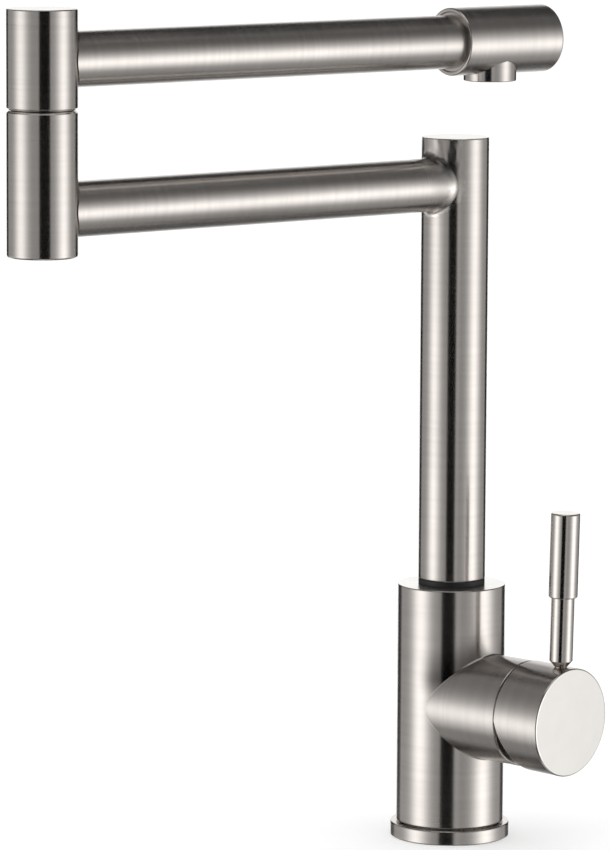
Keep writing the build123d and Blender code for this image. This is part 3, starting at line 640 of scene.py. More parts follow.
def mesh_of(name: str, sheets: Sequence[Sheet], faced: Optional[Triple] = None) -> bpy.types.Mesh:
    """Mesh of closed sheets, each turned so that its faces point outwards, with its wrap and grain.

    Args:
        name: name of the mesh.
        sheets: the sheets.
        faced: direction in which the flat end looks that takes the second finish, if there is one.

    Returns:
        The mesh, smooth but for edges that are sharp.
    """
    points, grain, vertices, wraps, totals = [], [], [], [], []
    first = 0
    for sheet in sheets:
        flat = sheet.points.reshape(-1, 3)
        faces, wrap, keep = sheet.corners()
        a, b, c, d = (flat[faces[:, k]] for k in range(4))
        volume = (a * (np.cross(b, c) + np.cross(c, d))).sum()
        if volume < 0:
            faces, wrap, keep = faces[:, ::-1], wrap[:, ::-1], keep[:, ::-1]
        points.append(flat)
        grain.append(sheet.grain())
        vertices.append(faces[keep] + first)
        wraps.append(wrap[keep])
        totals.append(keep.sum(axis=1))
        first += len(flat)
    corner_vertices = np.concatenate(vertices)
    used, corner_vertices = np.unique(corner_vertices, return_inverse=True)
    places = np.concatenate(points)[used]
    starts = np.concatenate([[0], np.cumsum(np.concatenate(totals))[:-1]])
    mesh = bpy.data.meshes.new(name)
    mesh.vertices.add(len(places))
    mesh.vertices.foreach_set("co", places.astype(np.float32).ravel())
    mesh.loops.add(len(corner_vertices))
    mesh.loops.foreach_set("vertex_index", corner_vertices.astype(np.int32).ravel())
    mesh.polygons.add(len(starts))
    mesh.polygons.foreach_set("loop_start", starts.astype(np.int32))
    mesh.update(calc_edges=True)
    mesh.validate()
    layer = mesh.uv_layers.new(name=WRAP)
    layer.uv.foreach_set("vector", np.concatenate(wraps).astype(np.float32).ravel())
    pattern = mesh.attributes.new(GRAIN, "FLOAT_VECTOR", "POINT")
    pattern.data.foreach_set("vector", np.concatenate(grain)[used].astype(np.float32).ravel())
    mesh.shade_smooth()
    mesh.set_sharp_from_angle(angle=SHARP_EDGE)
    if faced is not None:
        normals = np.empty(len(starts) * 3, np.float32)
        mesh.polygons.foreach_get("normal", normals)
        ends = normals.reshape(-1, 3) @ np.array(faced) > FLAT_END
        mesh.polygons.foreach_set("material_index", ends.astype(np.int32))
    return mesh


# Finishes


class Graph:
    """Node tree, with short calls for adding and joining nodes."""

    def __init__(self, tree: bpy.types.NodeTree) -> None:
        """Takes up a tree."""
        self.tree = tree

    def feed(self, node: bpy.types.Node, inputs: dict[str | int, Socket | float | Triple]) -> None:
        """Links or sets inputs of a node.

        Args:
            node: the node.
            inputs: outputs to link and values to set, by the input's name or number.
        """
        for key, value in inputs.items():
            if isinstance(value, Socket):
                self.tree.links.new(value, node.inputs[key])
            else:
                node.inputs[key].default_value = value

    def made(self, kind: str, inputs: dict[str | int, Socket | float | Triple], output: str | int = 0,
             **settings: object) -> Socket:
        """Adds a node.

        Args:
            kind: its kind.
            inputs: outputs to link and values to set, by the input's name or number.
            output: name or number of the output that is wanted.
            **settings: its own settings.

        Returns:
            That output.
        """
        node = self.tree.nodes.new(kind)
        for key, value in settings.items():
            setattr(node, key, value)
        self.feed(node, inputs)
        return node.outputs[output]

    def place(self, where: Coordinates) -> Socket:
        """Pattern coordinates of the piece, from its grain or its object."""
        if where is Coordinates.GRAIN:
            return self.made("ShaderNodeAttribute", {}, "Vector", attribute_name=GRAIN)
        return self.made("ShaderNodeTexCoord", {}, "Object")

    def mapped(self, place: Socket, **settings: Triple) -> Socket:
        """Coordinates scaled, then turned, then moved, by the inputs of a mapping node."""
        return self.made("ShaderNodeMapping", {"Vector": place, **settings})

    def parts(self, vector: Socket) -> tuple[Socket, ...]:
        """The three coordinates of a vector, one by one."""
        return tuple(self.made("ShaderNodeSeparateXYZ", {"Vector": vector}).node.outputs)

    def noise(self, place: Socket, scale: Triple | float, detail: float, rough: float = 0.5) -> Socket:
        """Noise, which a different scale along each coordinate can stretch.

        Args:
            place: pattern coordinates.
            scale: one scale, or that of each coordinate, per metre.
            detail: octaves of the noise.
            rough: how strong the finer octaves are.

        Returns:
            The noise's grey output, from 0 to 1.
        """
        scaled = self.mapped(place, Scale=(scale,) * 3 if isinstance(scale, float) else scale)
        return self.made("ShaderNodeTexNoise", {"Vector": scaled, "Scale": 1.0, "Detail": detail,
                                                "Roughness": rough})

    def spread(self, value: Socket, low: Socket | float, high: Socket | float, start: float = 0.3,
               end: float = 0.7, ease: bool = False) -> Socket:
        """Maps a value from one range to another, as a rule from that of most of a noise.

        Args:
            value: the value.
            low: result at start.
            high: result at end.
            start: end of the value's range that gives low.
            end: end of the value's range that gives high.
            ease: whether it eases in and out.

        Returns:
            The mapped output.
        """
        return self.made("ShaderNodeMapRange", {"Value": value, "From Min": start, "From Max": end,
                                                "To Min": low, "To Max": high},
                         interpolation_type="SMOOTHSTEP" if ease else "LINEAR")

    def tint(self, value: Socket, stops: Sequence[tuple[float, Triple]]) -> Socket:
        """Colour ramp.

        Args:
            value: place on the ramp.
            stops: place and colour of each stop, rising.

        Returns:
            The colour output.
        """
        output = self.made("ShaderNodeValToRGB", {"Fac": value}, "Color")
        elements = output.node.color_ramp.elements
        while len(elements) < len(stops):
            elements.new(0.5)
        for element, (place, colour) in zip(elements, stops):
            element.position = place
            element.color = (*colour, 1.0)
        return output

    def math(self, operation: str, first: Socket, second: Socket | float) -> Socket:
        """One value made of two, by an operation of the math node."""
        return self.made("ShaderNodeMath", {0: first, 1: second}, operation=operation)

    def add(self, first: Socket, second: Socket | float) -> Socket:
        """Sum of two values."""
        return self.math("ADD", first, second)

    def times(self, first: Socket, second: Socket | float) -> Socket:
        """Product of two values."""
        return self.math("MULTIPLY", first, second)

    def length(self, vector: Socket, share: Triple) -> Socket:
        """Length of a vector whose coordinates were first multiplied by fixed shares."""
        scaled = self.made("ShaderNodeVectorMath", {0: vector, 1: share}, operation="MULTIPLY")
        return self.made("ShaderNodeVectorMath", {0: scaled}, "Value", operation="LENGTH")

    def scaled(self, colour: Socket, share: Socket) -> Socket:
        """Colour multiplied by a share."""
        return self.made("ShaderNodeVectorMath", {0: colour, "Scale": share}, operation="SCALE")

    def seen(self) -> Socket:
        """1 to the camera, in reflections and through clear things, and 0 to all other light."""
        path = self.made("ShaderNodeLightPath", {}).node.outputs
        direct = self.math("MAXIMUM", path["Is Camera Ray"], path["Is Glossy Ray"])
        return self.math("MAXIMUM", direct, path["Is Transmission Ray"])


class Paint(Graph):
    """Node tree of one new material."""

    def __init__(self, name: str) -> None:
        """Makes the material and finds its shader."""
        self.material = bpy.data.materials.new(name)
        self.material.use_nodes = True
        super().__init__(self.material.node_tree)
        self.shader = self.tree.nodes["Principled BSDF"]

    def relief(self, height: Socket, distance: float, strength: float = 1.0) -> Socket:
        """Normal of the surface, raised by a height pattern.

        Args:
            height: the pattern.
            distance: metres from its lowest to its highest.
            strength: share of the effect.

        Returns:
            The normal.
        """
        return self.made("ShaderNodeBump", {"Distance": distance, "Strength": strength, "Height": height})


@dataclass(frozen=True)
class Finish:
    """Finish of a piece.

    Attributes:
        name: name of its material.
    """

    name: str

    def material(self) -> bpy.types.Material:
        """Finds the material, or makes it at its first use.

        Returns:
            The material.
        """
        known = bpy.data.materials.get(self.name)
        if known:
            return known
        graph = Paint(self.name)
        self.paint(graph)
        return graph.material

    def paint(self, graph: Paint) -> None:
        """Adds the finish's own nodes to its material; a bare finish has none."""


@dataclass(frozen=True)
class Metal:
    """Colour, roughness and height pattern of a metal while its nodes are made."""

    colour: Socket
    rough: Socket
    height: Socket


@dataclass(frozen=True)
class BrushedSteel(Finish):
    """Stainless steel with fine brush lines round the piece.

    Attributes:
        colour: reflected colour of the bare metal.
        shades: shares of that colour in the darkest and the lightest lines.
        roughness: mean roughness.
        lined: how much rougher or smoother a line is.
        smudged: the same for a smudge, at its smoothest and its roughest.
        anisotropy: how much longer highlights are along the piece than round it.
        line: width of one brush line.
        line_length: length of one brush line.
        broad: width of a fine line as a share of a broad one.
        smudge: scale of the smudges, per metre.
        depth: depth of the lines.
        waver: slow unevenness of the surface from hand finishing.
    """

    colour: Triple = (0.62, 0.582, 0.55)
    shades: Pair = (0.92, 1.045)
    roughness: float = 0.235
    lined: float = 0.02
    smudged: Pair = (-0.02, 0.025)
    anisotropy: float = 0.86
    line: float = 0.00028
    line_length: float = 0.03
    broad: float = 0.12
    smudge: Triple = (26.0, 26.0, 20.0)
    depth: float = 0.0000010
    waver: float = 0.000012

    def paint(self, graph: Paint) -> None:
        """Adds brush lines, fine and broad noise stretched along the turn, and smudges, a soft noise.

        The lines lighten and roughen the metal a little. Both give its relief.

        Args:
            graph: the material's nodes.
        """
        place = graph.place(Coordinates.GRAIN)
        long_way = 1 / self.line_length
        fine = graph.noise(place, (long_way, long_way, 1 / self.line), detail=2.0, rough=0.6)
        broad = graph.noise(place, (long_way / 2, long_way / 2, self.broad / self.line), detail=1.0)
        smudge = graph.noise(place, self.smudge, detail=3.0, rough=0.55)
        shade = graph.add(graph.spread(fine, 0.0, 0.6), graph.spread(broad, 0.0, 0.4))
        dark, light = (tuple(min(1.0, share * part) for part in self.colour) for share in self.shades)
        colour = graph.tint(shade, [(0.0, dark), (1.0, light)])
        rough = graph.add(graph.spread(fine, -self.lined, self.lined),
                          graph.spread(smudge, *(self.roughness + change for change in self.smudged)))
        height = graph.add(graph.spread(fine, 0.0, self.depth / self.waver), smudge)
        # Hand marks, and the painted shade, highlights and reflections of some steels, are added here.
        metal = self.work_and_painted_light(graph, Metal(colour, rough, height))
        tangent = graph.made("ShaderNodeTangent", {}, direction_type="UV_MAP", uv_map=WRAP)
        graph.feed(graph.shader, {"Base Color": metal.colour, "Roughness": metal.rough, "Metallic": 1.0,
                                  "Anisotropic": self.anisotropy, "Tangent": tangent,
                                  "Normal": graph.relief(metal.height, self.waver)})

    def work_and_painted_light(self, graph: Paint, metal: Metal) -> Metal:
        """Metal with the marks of hand work and any painted light and shade, of which a plain tube has none.
        """
        return metal


@dataclass(frozen=True)
class WeldedSteel(BrushedSteel):
    """Brushed steel of a post and the arm that is welded to it, with the weld ground flush by hand, and
    painted shade and a painted highlight along its seam.

    Attributes:
        heading: direction of the arm from the post's axis.
        level: height of the arm's axis.
        post: radius of the post.
        arm: radius of the arm.
        above: height of the middle of the ground place over the arm's axis.
        inner: distance from that middle up to which the metal is fully ground.
        outer: distance from which it is untouched.
        ground: extra roughness of the ground metal.
        swell: depth of the waves that the grinding left.
        wave: their scale, per metre.
        calm: share of them left at the arm's axis and below.
        crest: height over it where they are whole, in radii of the arm.
        seam: width of the seam's marks.
        wander: how far the seam strays, as a share of that.
        stray: scale of the straying, per metre.
        front: where the marks start and are whole, from the post's wall, in radii of the post.
        stain_and_shade: share of the colour left in the painted shade over the seam, above, partly heat
            tint.
        painted_highlight: share of the colour in the painted highlight below the seam.
        sides: degrees round the arm, from its left over its top, each with its mark from 0, painted shade,
            to 1, painted highlight.
    """

    heading: float = 0.0
    level: float = 0.0
    post: float = 0.0
    arm: float = 0.0
    above: float = 0.008
    inner: float = 0.015
    outer: float = 0.024
    ground: float = 0.09
    swell: float = 0.0014
    wave: float = 110.0
    calm: float = 0.2
    crest: float = 0.9
    seam: float = 0.0034
    wander: float = 0.3
    stray: float = 420.0
    front: Pair = (-0.72, -0.38)
    # Colour shares of the painted seam shade, partly heat tint, and of the painted highlight below it.
    stain_and_shade: float = 0.35
    painted_highlight: float = 1.5
    sides: tuple[Pair, ...] = ((-140, 0.5), (-85, 1.0), (-5, 1.0), (22, 0.5), (45, 0.0),
                                              (125, 0.0), (150, 0.5))

    def work_and_painted_light(self, graph: Paint, metal: Metal) -> Metal:
        """Marks of the weld: rougher waved metal round it, and over its seam painted shade above, partly
        heat tint, and a painted highlight below.

        Args:
            graph: the material's nodes.
            metal: metal of the plain tube.

        Returns:
            Metal with the weld's marks, its painted shade and its painted highlight.
        """
        place = graph.place(Coordinates.OBJECT)
        local = graph.mapped(place, Rotation=(0.0, 0.0, -self.heading),
                             Location=(-self.post, 0.0, -self.level))
        ground, waves = self.grinding(graph, place, local)
        rougher = graph.spread(ground, 0.0, self.ground, start=0.0, end=1.0)
        # The colour is scaled by the painted seam shade and highlight; roughness and waves come from the
        # grinding.
        return Metal(graph.scaled(metal.colour, self.painted_seam_light(graph, place, local)),
                     graph.add(metal.rough, rougher), graph.add(metal.height, waves))

    def grinding(self, graph: Paint, place: Socket, local: Socket) -> tuple[Socket, Socket]:
        """Ground metal, by its distance from the middle of the ground place, counted double along the arm.

        Args:
            graph: the material's nodes.
            place: object coordinates.
            local: the arm's coordinates (from the post's wall, left, up).

        Returns:
            How far the metal is ground, from 0 to 1, and the height of its waves, calmer low down.
        """
        squeezed = graph.mapped(local, Scale=(2.0, 1.0, 1.0), Location=(0.0, 0.0, -self.above))
        away = graph.length(squeezed, (1.0, 1.0, 1.0))
        ground = graph.spread(away, 1.0, 0.0, self.inner, self.outer, ease=True)
        swell = 0.5 * self.swell / self.waver
        wave = graph.spread(graph.noise(place, self.wave, detail=1.0), -swell, swell, start=0.0, end=1.0)
        upper = graph.spread(graph.parts(local)[2], self.calm, 1.0, 0.0, self.crest * self.arm, ease=True)
        return ground, graph.times(graph.times(wave, ground), upper)

    def painted_seam_light(self, graph: Paint, place: Socket, local: Socket) -> Socket:
        """Painted shade over the seam where post and arm meet, partly heat tint, and a painted highlight
        below it.

        The larger of a point's distance from the post's wall and twice that from the arm's wall tells
        how near the seam it is, if it is in front of the post's axis, and its angle round the arm's axis
        tells which side of the seam it is on.

        Args:
            graph: the material's nodes.
            place: object coordinates.
            local: the arm's coordinates (from the post's wall, left, up).

        Returns:
            Share of the metal's colour, 1 away from the seam.
        """
        along, left, up = graph.parts(local)
        from_post = graph.add(graph.length(place, (1.0, 1.0, 0.0)), -self.post)
        from_arm = graph.add(graph.length(local, (0.0, 1.0, 1.0)), -self.arm)
        reach = self.wander * self.seam
        wander = graph.spread(graph.noise(place, self.stray, detail=1.0), -reach, reach)
        from_seam = graph.add(graph.math("MAXIMUM", from_post, graph.times(from_arm, 2.0)), wander)
        near = graph.spread(from_seam, 1.0, 0.0, 0.2 * self.seam, self.seam, ease=True)
        front = graph.spread(along, 0.0, 1.0, *(share * self.post for share in self.front))
        side = graph.spread(graph.math("ARCTAN2", up, left), 0.0, 1.0, start=-pi, end=pi)
        mark = graph.tint(side, [(0.5 + degrees / 360, (share,) * 3) for degrees, share in self.sides])
        # Painted shade in the crease over the seam, partly heat tint, and a painted highlight below it.
        marked = graph.spread(mark, self.stain_and_shade, self.painted_highlight, start=0.0, end=1.0)
        return graph.spread(graph.times(near, front), 1.0, marked, start=0.0, end=1.0)


@dataclass(frozen=True)
class PaintedReflectionSteel(BrushedSteel):
    """Brushed steel of the body, darkened over the shoulders of the branch that was brazed on by a painted
    dark reflection of the branch.

    Attributes:
        level: height of the branch's axis.
        body: radius of the body.
        branch: radius of the branch.
        reach: distance from the branch over which the painted reflection fades.
        aside: where it starts and is whole beside the branch's top line, in radii of the branch.
        over: the same over the branch's axis.
        outwards: the same from the body's axis towards the branch, in radii of the body.
        stain_and_shade: share of the colour left at the branch, where the painted reflection is darkest.
    """

    level: float = 0.0
    body: float = 0.0
    branch: float = 0.0
    reach: float = 0.013
    aside: Pair = (0.1, 0.5)
    over: Pair = (0.2, 0.6)
    outwards: Pair = (0.0, 0.4)
    # Share of the colour left in the painted dark reflection of the branch.
    stain_and_shade: float = 0.34

    def work_and_painted_light(self, graph: Paint, metal: Metal) -> Metal:
        """Soft painted dark reflection of the branch on the wall over each of its shoulders.

        It is the product of four eased steps: near the branch's wall, away from its top line, over its
        axis, and on its side of the body.

        Args:
            graph: the material's nodes.
            metal: metal of the plain tube.

        Returns:
            Metal with the painted reflection.
        """
        local = graph.mapped(graph.place(Coordinates.OBJECT), Location=(0.0, 0.0, -self.level))
        out, across, up = graph.parts(local)
        apart = graph.add(graph.length(local, (0.0, 1.0, 1.0)), -self.branch)
        share = graph.spread(apart, 1.0, 0.0, 0.0, self.reach, ease=True)
        for value, limits, radius in ((graph.math("ABSOLUTE", across, 0.0), self.aside, self.branch),
                                      (up, self.over, self.branch), (out, self.outwards, self.body)):
            start, end = (limit * radius for limit in limits)
            share = graph.times(share, graph.spread(value, 0.0, 1.0, start, end, ease=True))
        # Painted dark reflection of the branch: the colour is scaled down near its shoulders.
        left = graph.spread(share, 1.0, self.stain_and_shade, start=0.0, end=1.0)
        return Metal(graph.scaled(metal.colour, left), metal.rough, metal.height)


@dataclass(frozen=True)
class TurnedMetal(Finish):
    """Plain machined metal, with faint tool marks and stains.

    Attributes:
        colour: reflected colour.
        roughness: mean roughness.
        stain_and_shade: share of the colour that is left in a stain.
        marks: depth of the tool marks.
        mark: scale of the tool marks, per metre.
        stain: scale of the stains, per metre.
        marked: how much rougher or smoother a tool mark is.
        dulled: the same for a stain.
    """

    colour: Triple
    roughness: float = 0.28
    stain_and_shade: float = 0.86
    marks: float = 0.00001
    mark: float = 900.0
    stain: float = 90.0
    marked: float = 0.008
    dulled: float = 0.01

    def paint(self, graph: Paint) -> None:
        """Adds the marks and stains, two noises on the piece's object coordinates."""
        place = graph.place(Coordinates.OBJECT)
        marks = graph.noise(place, self.mark, detail=3.0)
        stain = graph.noise(place, self.stain, detail=4.0, rough=0.6)
        dark = tuple(self.stain_and_shade * part for part in self.colour)
        rough = graph.add(graph.spread(marks, -self.marked, self.marked),
                          graph.spread(stain, self.roughness + self.dulled, self.roughness - self.dulled))
        colour = graph.tint(stain, [(0.3, dark), (0.65, self.colour)])
        graph.feed(graph.shader, {"Base Color": colour, "Roughness": rough, "Metallic": 1.0,
                                  "Normal": graph.relief(marks, self.marks, strength=0.5)})


@dataclass(frozen=True)
class Moulded(Finish):
    """Plastic, rubber or ceramic with a fine moulded skin.

    Attributes:
        colour: its colour.
        roughness: mean roughness.
        skin: size of the skin's grain.
        relief: depth of the grain.
        where: pattern coordinates.
        clouds: scale of the slow change of shade, per metre.
        clouded: share of the colour that is left where it is darkest.
        grained: change of the roughness at the smoothest and the roughest grain.
    """

    colour: Triple
    roughness: float
    skin: float = 0.0004
    relief: float = 0.00001
    where: Coordinates = Coordinates.OBJECT
    clouds: float = 70.0
    clouded: float = 0.88
    grained: Pair = (-0.04, 0.06)

    def paint(self, graph: Paint) -> None:
        """Adds a fine grain and a slow change of shade."""
        place = graph.place(self.where)
        grain = graph.noise(place, 1 / self.skin, detail=2.0)
        shade = graph.noise(place, self.clouds, detail=3.0)
        dark = tuple(self.clouded * part for part in self.colour)
        rough = graph.spread(grain, *(self.roughness + change for change in self.grained))
        colour = graph.tint(shade, [(0.3, dark), (0.7, self.colour)])
        graph.feed(graph.shader, {"Base Color": colour, "Roughness": rough,
                                  "Normal": graph.relief(grain, self.relief, strength=0.6)})


TUBE_STEEL = BrushedSteel("tube_steel")
HANDLE_STEEL = BrushedSteel("handle_steel")
LEVER_STEEL = BrushedSteel("lever_steel", roughness=0.20, anisotropy=0.8, line=0.0002, depth=0.000001)
# Flat end faces and tops: a faced finish, and a colour far lighter than the same steel's, a painted
# highlight.
FACE_STEEL_PAINTED_HIGHLIGHT = TurnedMetal("faced_steel_painted_highlight", (0.87, 0.845, 0.805), 0.24, 0.96, 0.000001)
PLAIN_STEEL = TurnedMetal("plain_steel", (0.56, 0.545, 0.53))
THREAD_STEEL = TurnedMetal("thread_steel", PLAIN_STEEL.colour)
CAST_BRASS = TurnedMetal("cast_brass", (0.78, 0.58, 0.30), 0.32)
SEAL_RUBBER = Moulded("seal_rubber", (0.012, 0.012, 0.013), 0.55, 0.0003)
BEARING_PLASTIC = Moulded("bearing_plastic", (0.016, 0.016, 0.017), 0.38, 0.0005)
TURNED_BLACK = Moulded("turned_black", (0.012, 0.012, 0.013), 0.42, 0.0004, where=Coordinates.GRAIN)
WHITE_MOULDING = Moulded("white_moulding", (0.80, 0.80, 0.78), 0.35)
GREY_MOULDING = Moulded("grey_moulding", (0.36, 0.37, 0.38), 0.40)
DISC_CERAMIC = Moulded("disc_ceramic", (0.86, 0.85, 0.82), 0.16, 0.0002, 0.000002)


def linked(name: str, data: bpy.types.ID) -> bpy.types.Object:
    """Object of a mesh, lamp or camera, taken into the scene."""
    thing = bpy.data.objects.new(name, data)
    bpy.context.scene.collection.objects.link(thing)
    return thing


def add_piece(name: str, sheets: Sequence[Sheet], finish: Finish, body: Body,
              stands_for: Iterable[str] = (), faced: Optional[Triple] = None) -> bpy.types.Object:
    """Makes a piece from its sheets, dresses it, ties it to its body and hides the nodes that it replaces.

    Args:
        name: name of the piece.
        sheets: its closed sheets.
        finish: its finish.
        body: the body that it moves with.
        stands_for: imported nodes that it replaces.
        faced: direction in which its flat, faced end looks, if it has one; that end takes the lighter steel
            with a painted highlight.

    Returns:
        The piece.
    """
    piece = linked(name, mesh_of(name, sheets, faced))
    piece.data.materials.append(finish.material())
    # The flat end takes the lighter steel: a faced finish with a painted highlight.
    if faced is not None:
        piece.data.materials.append(FACE_STEEL_PAINTED_HIGHLIGHT.material())
    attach(piece, body.value)
    nodes = list(stands_for)
    if nodes:
        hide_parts(*nodes)
    LOG.info("%s: %d faces, rides on %s", name, len(piece.data.polygons), body.value)
    return piece


def dress(finish: Finish, *nodes: str) -> None:
    """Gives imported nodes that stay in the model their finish.

    Args:
        finish: the finish.
        *nodes: names of the nodes.
    """
    for node in nodes:
        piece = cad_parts[node]
        if not piece.material_slots:
            piece.data.materials.append(finish.material())
        for place in piece.material_slots:
            place.material = finish.material()
        LOG.info("%s: packed solid, %s", node, finish.name)


def span(node: str) -> tuple[Array, Array]:
    """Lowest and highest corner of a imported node, as arrays."""
    low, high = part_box(node)
    return np.array(low), np.array(high)


def middle(node: str) -> tuple[float, ...]:
    """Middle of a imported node's box."""
    low, high = span(node)
    return tuple(float(part) for part in (low + high) / 2)


def upright(node: str) -> Axle:
    """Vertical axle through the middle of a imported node, its reach the height over the deck."""
    return upright_axle(*middle(node)[:2])


def round_size(node: str) -> Triple:
    """Radius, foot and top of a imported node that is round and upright."""
    low, high = span(node)
    return float(high[0] - low[0]) / 2, float(low[2]), float(high[2])


# The faucet, from the foot up


@dataclass
class Foot:
    """Foot flange with its gasket, round the threaded foot block."""

    flange: float = 0.025
    flange_edge: float = 0.0006
    block: float = 0.0205
    gasket_out: float = 0.0236
    gasket_in: float = 0.0216
    hose_thread: float = 0.0045
    hose_pitch: float = 0.001
    hose_depth: float = 0.010
    cold_place: Pair = (-0.0075, -0.006)
    hot_place: Pair = (-0.0075, 0.006)
    stud_thread: float = 0.0034
    stud_pitch: float = 0.00125
    stud_depth: float = 0.013
    stud_place: Pair = (0.010, 0.0)
    crest: float = 0.00045

    def build(self) -> None:
        """Builds the flange, the gasket and the three threads, and dresses the block."""
        axle = upright("base_flange")
        top = round_size("base_flange")[2]
        gasket_top = round_size("foot_gasket")[2]
        groove = gasket_top + SEAT_GAP
        profile = eased([(self.block, 0.0), (self.gasket_in, 0.0), (self.gasket_in, groove),
                         (self.gasket_out, groove), (self.gasket_out, 0.0),
                         (self.flange, 0.0, self.flange_edge), (self.flange, top, self.flange_edge),
                         (self.block, top, self.flange_edge / 2)], ring=True)
        foot_row = 9
        add_piece("flange_ring", [turned(axle, profile, self.flange, anchor=foot_row)], TUBE_STEEL,
                  Body.BASE, ["base_flange"])
        lip = (self.gasket_out - self.gasket_in) / 4
        seal = ring_profile(self.gasket_in, self.gasket_out, 0.0, gasket_top, (lip, lip, 0.0, 0.0))
        add_piece("foot_seal", [turned(axle, seal, self.gasket_out)], TURNED_BLACK, Body.BASE,
                  ["foot_gasket"])
        hose = (self.hose_thread, self.hose_pitch, self.hose_depth)
        stud = (self.stud_thread, self.stud_pitch, self.stud_depth)
        for name, place, (radius, pitch, depth) in (("cold_thread", self.cold_place, hose),
                                                    ("hot_thread", self.hot_place, hose),
                                                    ("stud_thread", self.stud_place, stud)):
            ridge = thread_sheet(upright_axle(*place), radius, pitch, depth, self.crest)
            add_piece(name, [ridge], THREAD_STEEL, Body.BASE)
        dress(PLAIN_STEEL, "foot_block")


@dataclass
class BodyColumn:
    """Upright body with its valve branch and the set screw at its back."""

    wall: float = 0.002
    top_plate: float = 0.004
    top_bore: float = 0.0113
    edge: float = 0.0005
    branch: float = 0.022
    branch_wall: float = 0.002
    branch_edge: float = 0.0005
    branch_seat: float = 0.00005
    braze: float = 0.0006
    waver: float = 0.12
    screw_hole: float = 0.00255

    def build(self) -> None:
        """Builds the body's wall and the branch, and dresses the screw and the swivel socket."""
        outer, foot, top = round_size("body_tube")
        inner = outer - self.wall
        branch_end = float(span("branch_tube")[1][0])
        level = middle("branch_tube")[2]
        screw = middle("swivel_set_screw")[2]
        plate = eased([(outer, top - EDGE_RUN * self.edge), (outer, top, self.edge),
                       (self.top_bore, top, self.edge / 2),
                       (self.top_bore, top - self.top_plate), (inner, top - self.top_plate)])
        shells = pierced(upright("body_tube"), outer, inner, open_end(inner, outer, foot, self.edge), plate,
                         [SideHole(level, 0.0, self.branch - self.branch_wall, self.branch_seat),
                          SideHole(screw, pi / 2, self.screw_hole)], columns=176)
        # The body's steel carries a painted dark reflection of the branch over its shoulders.
        brazed = PaintedReflectionSteel("tube_steel_painted_reflection", level=level, body=outer, branch=self.branch)
        add_piece("body_wall", shells, brazed, Body.BASE, ["body_tube"], UPWARDS)
        sleeve = arm_sheet(level_axle((0.0, 0.0, level)), self.branch, self.branch - self.branch_wall,
                           Cope(outer, fillet=self.braze, waver=self.waver), None, branch_end,
                           self.branch_edge, columns=192)
        add_piece("branch_sleeve", [sleeve], HANDLE_STEEL, Body.BASE, ["branch_tube"])
        dress(PLAIN_STEEL, "swivel_set_screw", "swivel_socket")


@dataclass
class Mixer:
    """Cartridge in the branch: seat, ports, ceramic discs, carrier and stem, with the two supply tubes."""

    seal_width: float = 0.0012
    seal_ease: float = 0.45
    side: float = 0.006
    rise: float = 0.005
    drop: float = 0.0015
    inlet: float = 0.0026
    outlet: float = 0.0028

    def build(self) -> None:
        """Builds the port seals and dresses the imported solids."""
        back, front = (corner[0] for corner in span("port_seals"))
        level = middle("cartridge_housing")[2]
        eases = (self.seal_width * self.seal_ease,) * 4
        rings = []
        for across, up, radius in ((-self.side, self.rise, self.inlet), (self.side, self.rise, self.inlet),
                                   (0.0, -self.drop, self.outlet)):
            profile = ring_profile(radius, radius + self.seal_width, back, front, eases)
            rings.append(turned(level_axle((0.0, across, level + up)), profile, radius, columns=64))
        add_piece("port_seal_rings", rings, TURNED_BLACK, Body.BASE, ["port_seals"])
        dress(PLAIN_STEEL, "supply_tube_cold", "supply_tube_hot", "cartridge_seat", "pivot_pin")
        dress(CAST_BRASS, "cartridge_nut")
        dress(GREY_MOULDING, "cartridge_base", "cartridge_housing")
        dress(WHITE_MOULDING, "cartridge_carrier", "disc_driver")
        dress(DISC_CERAMIC, "fixed_disc", "moving_disc")


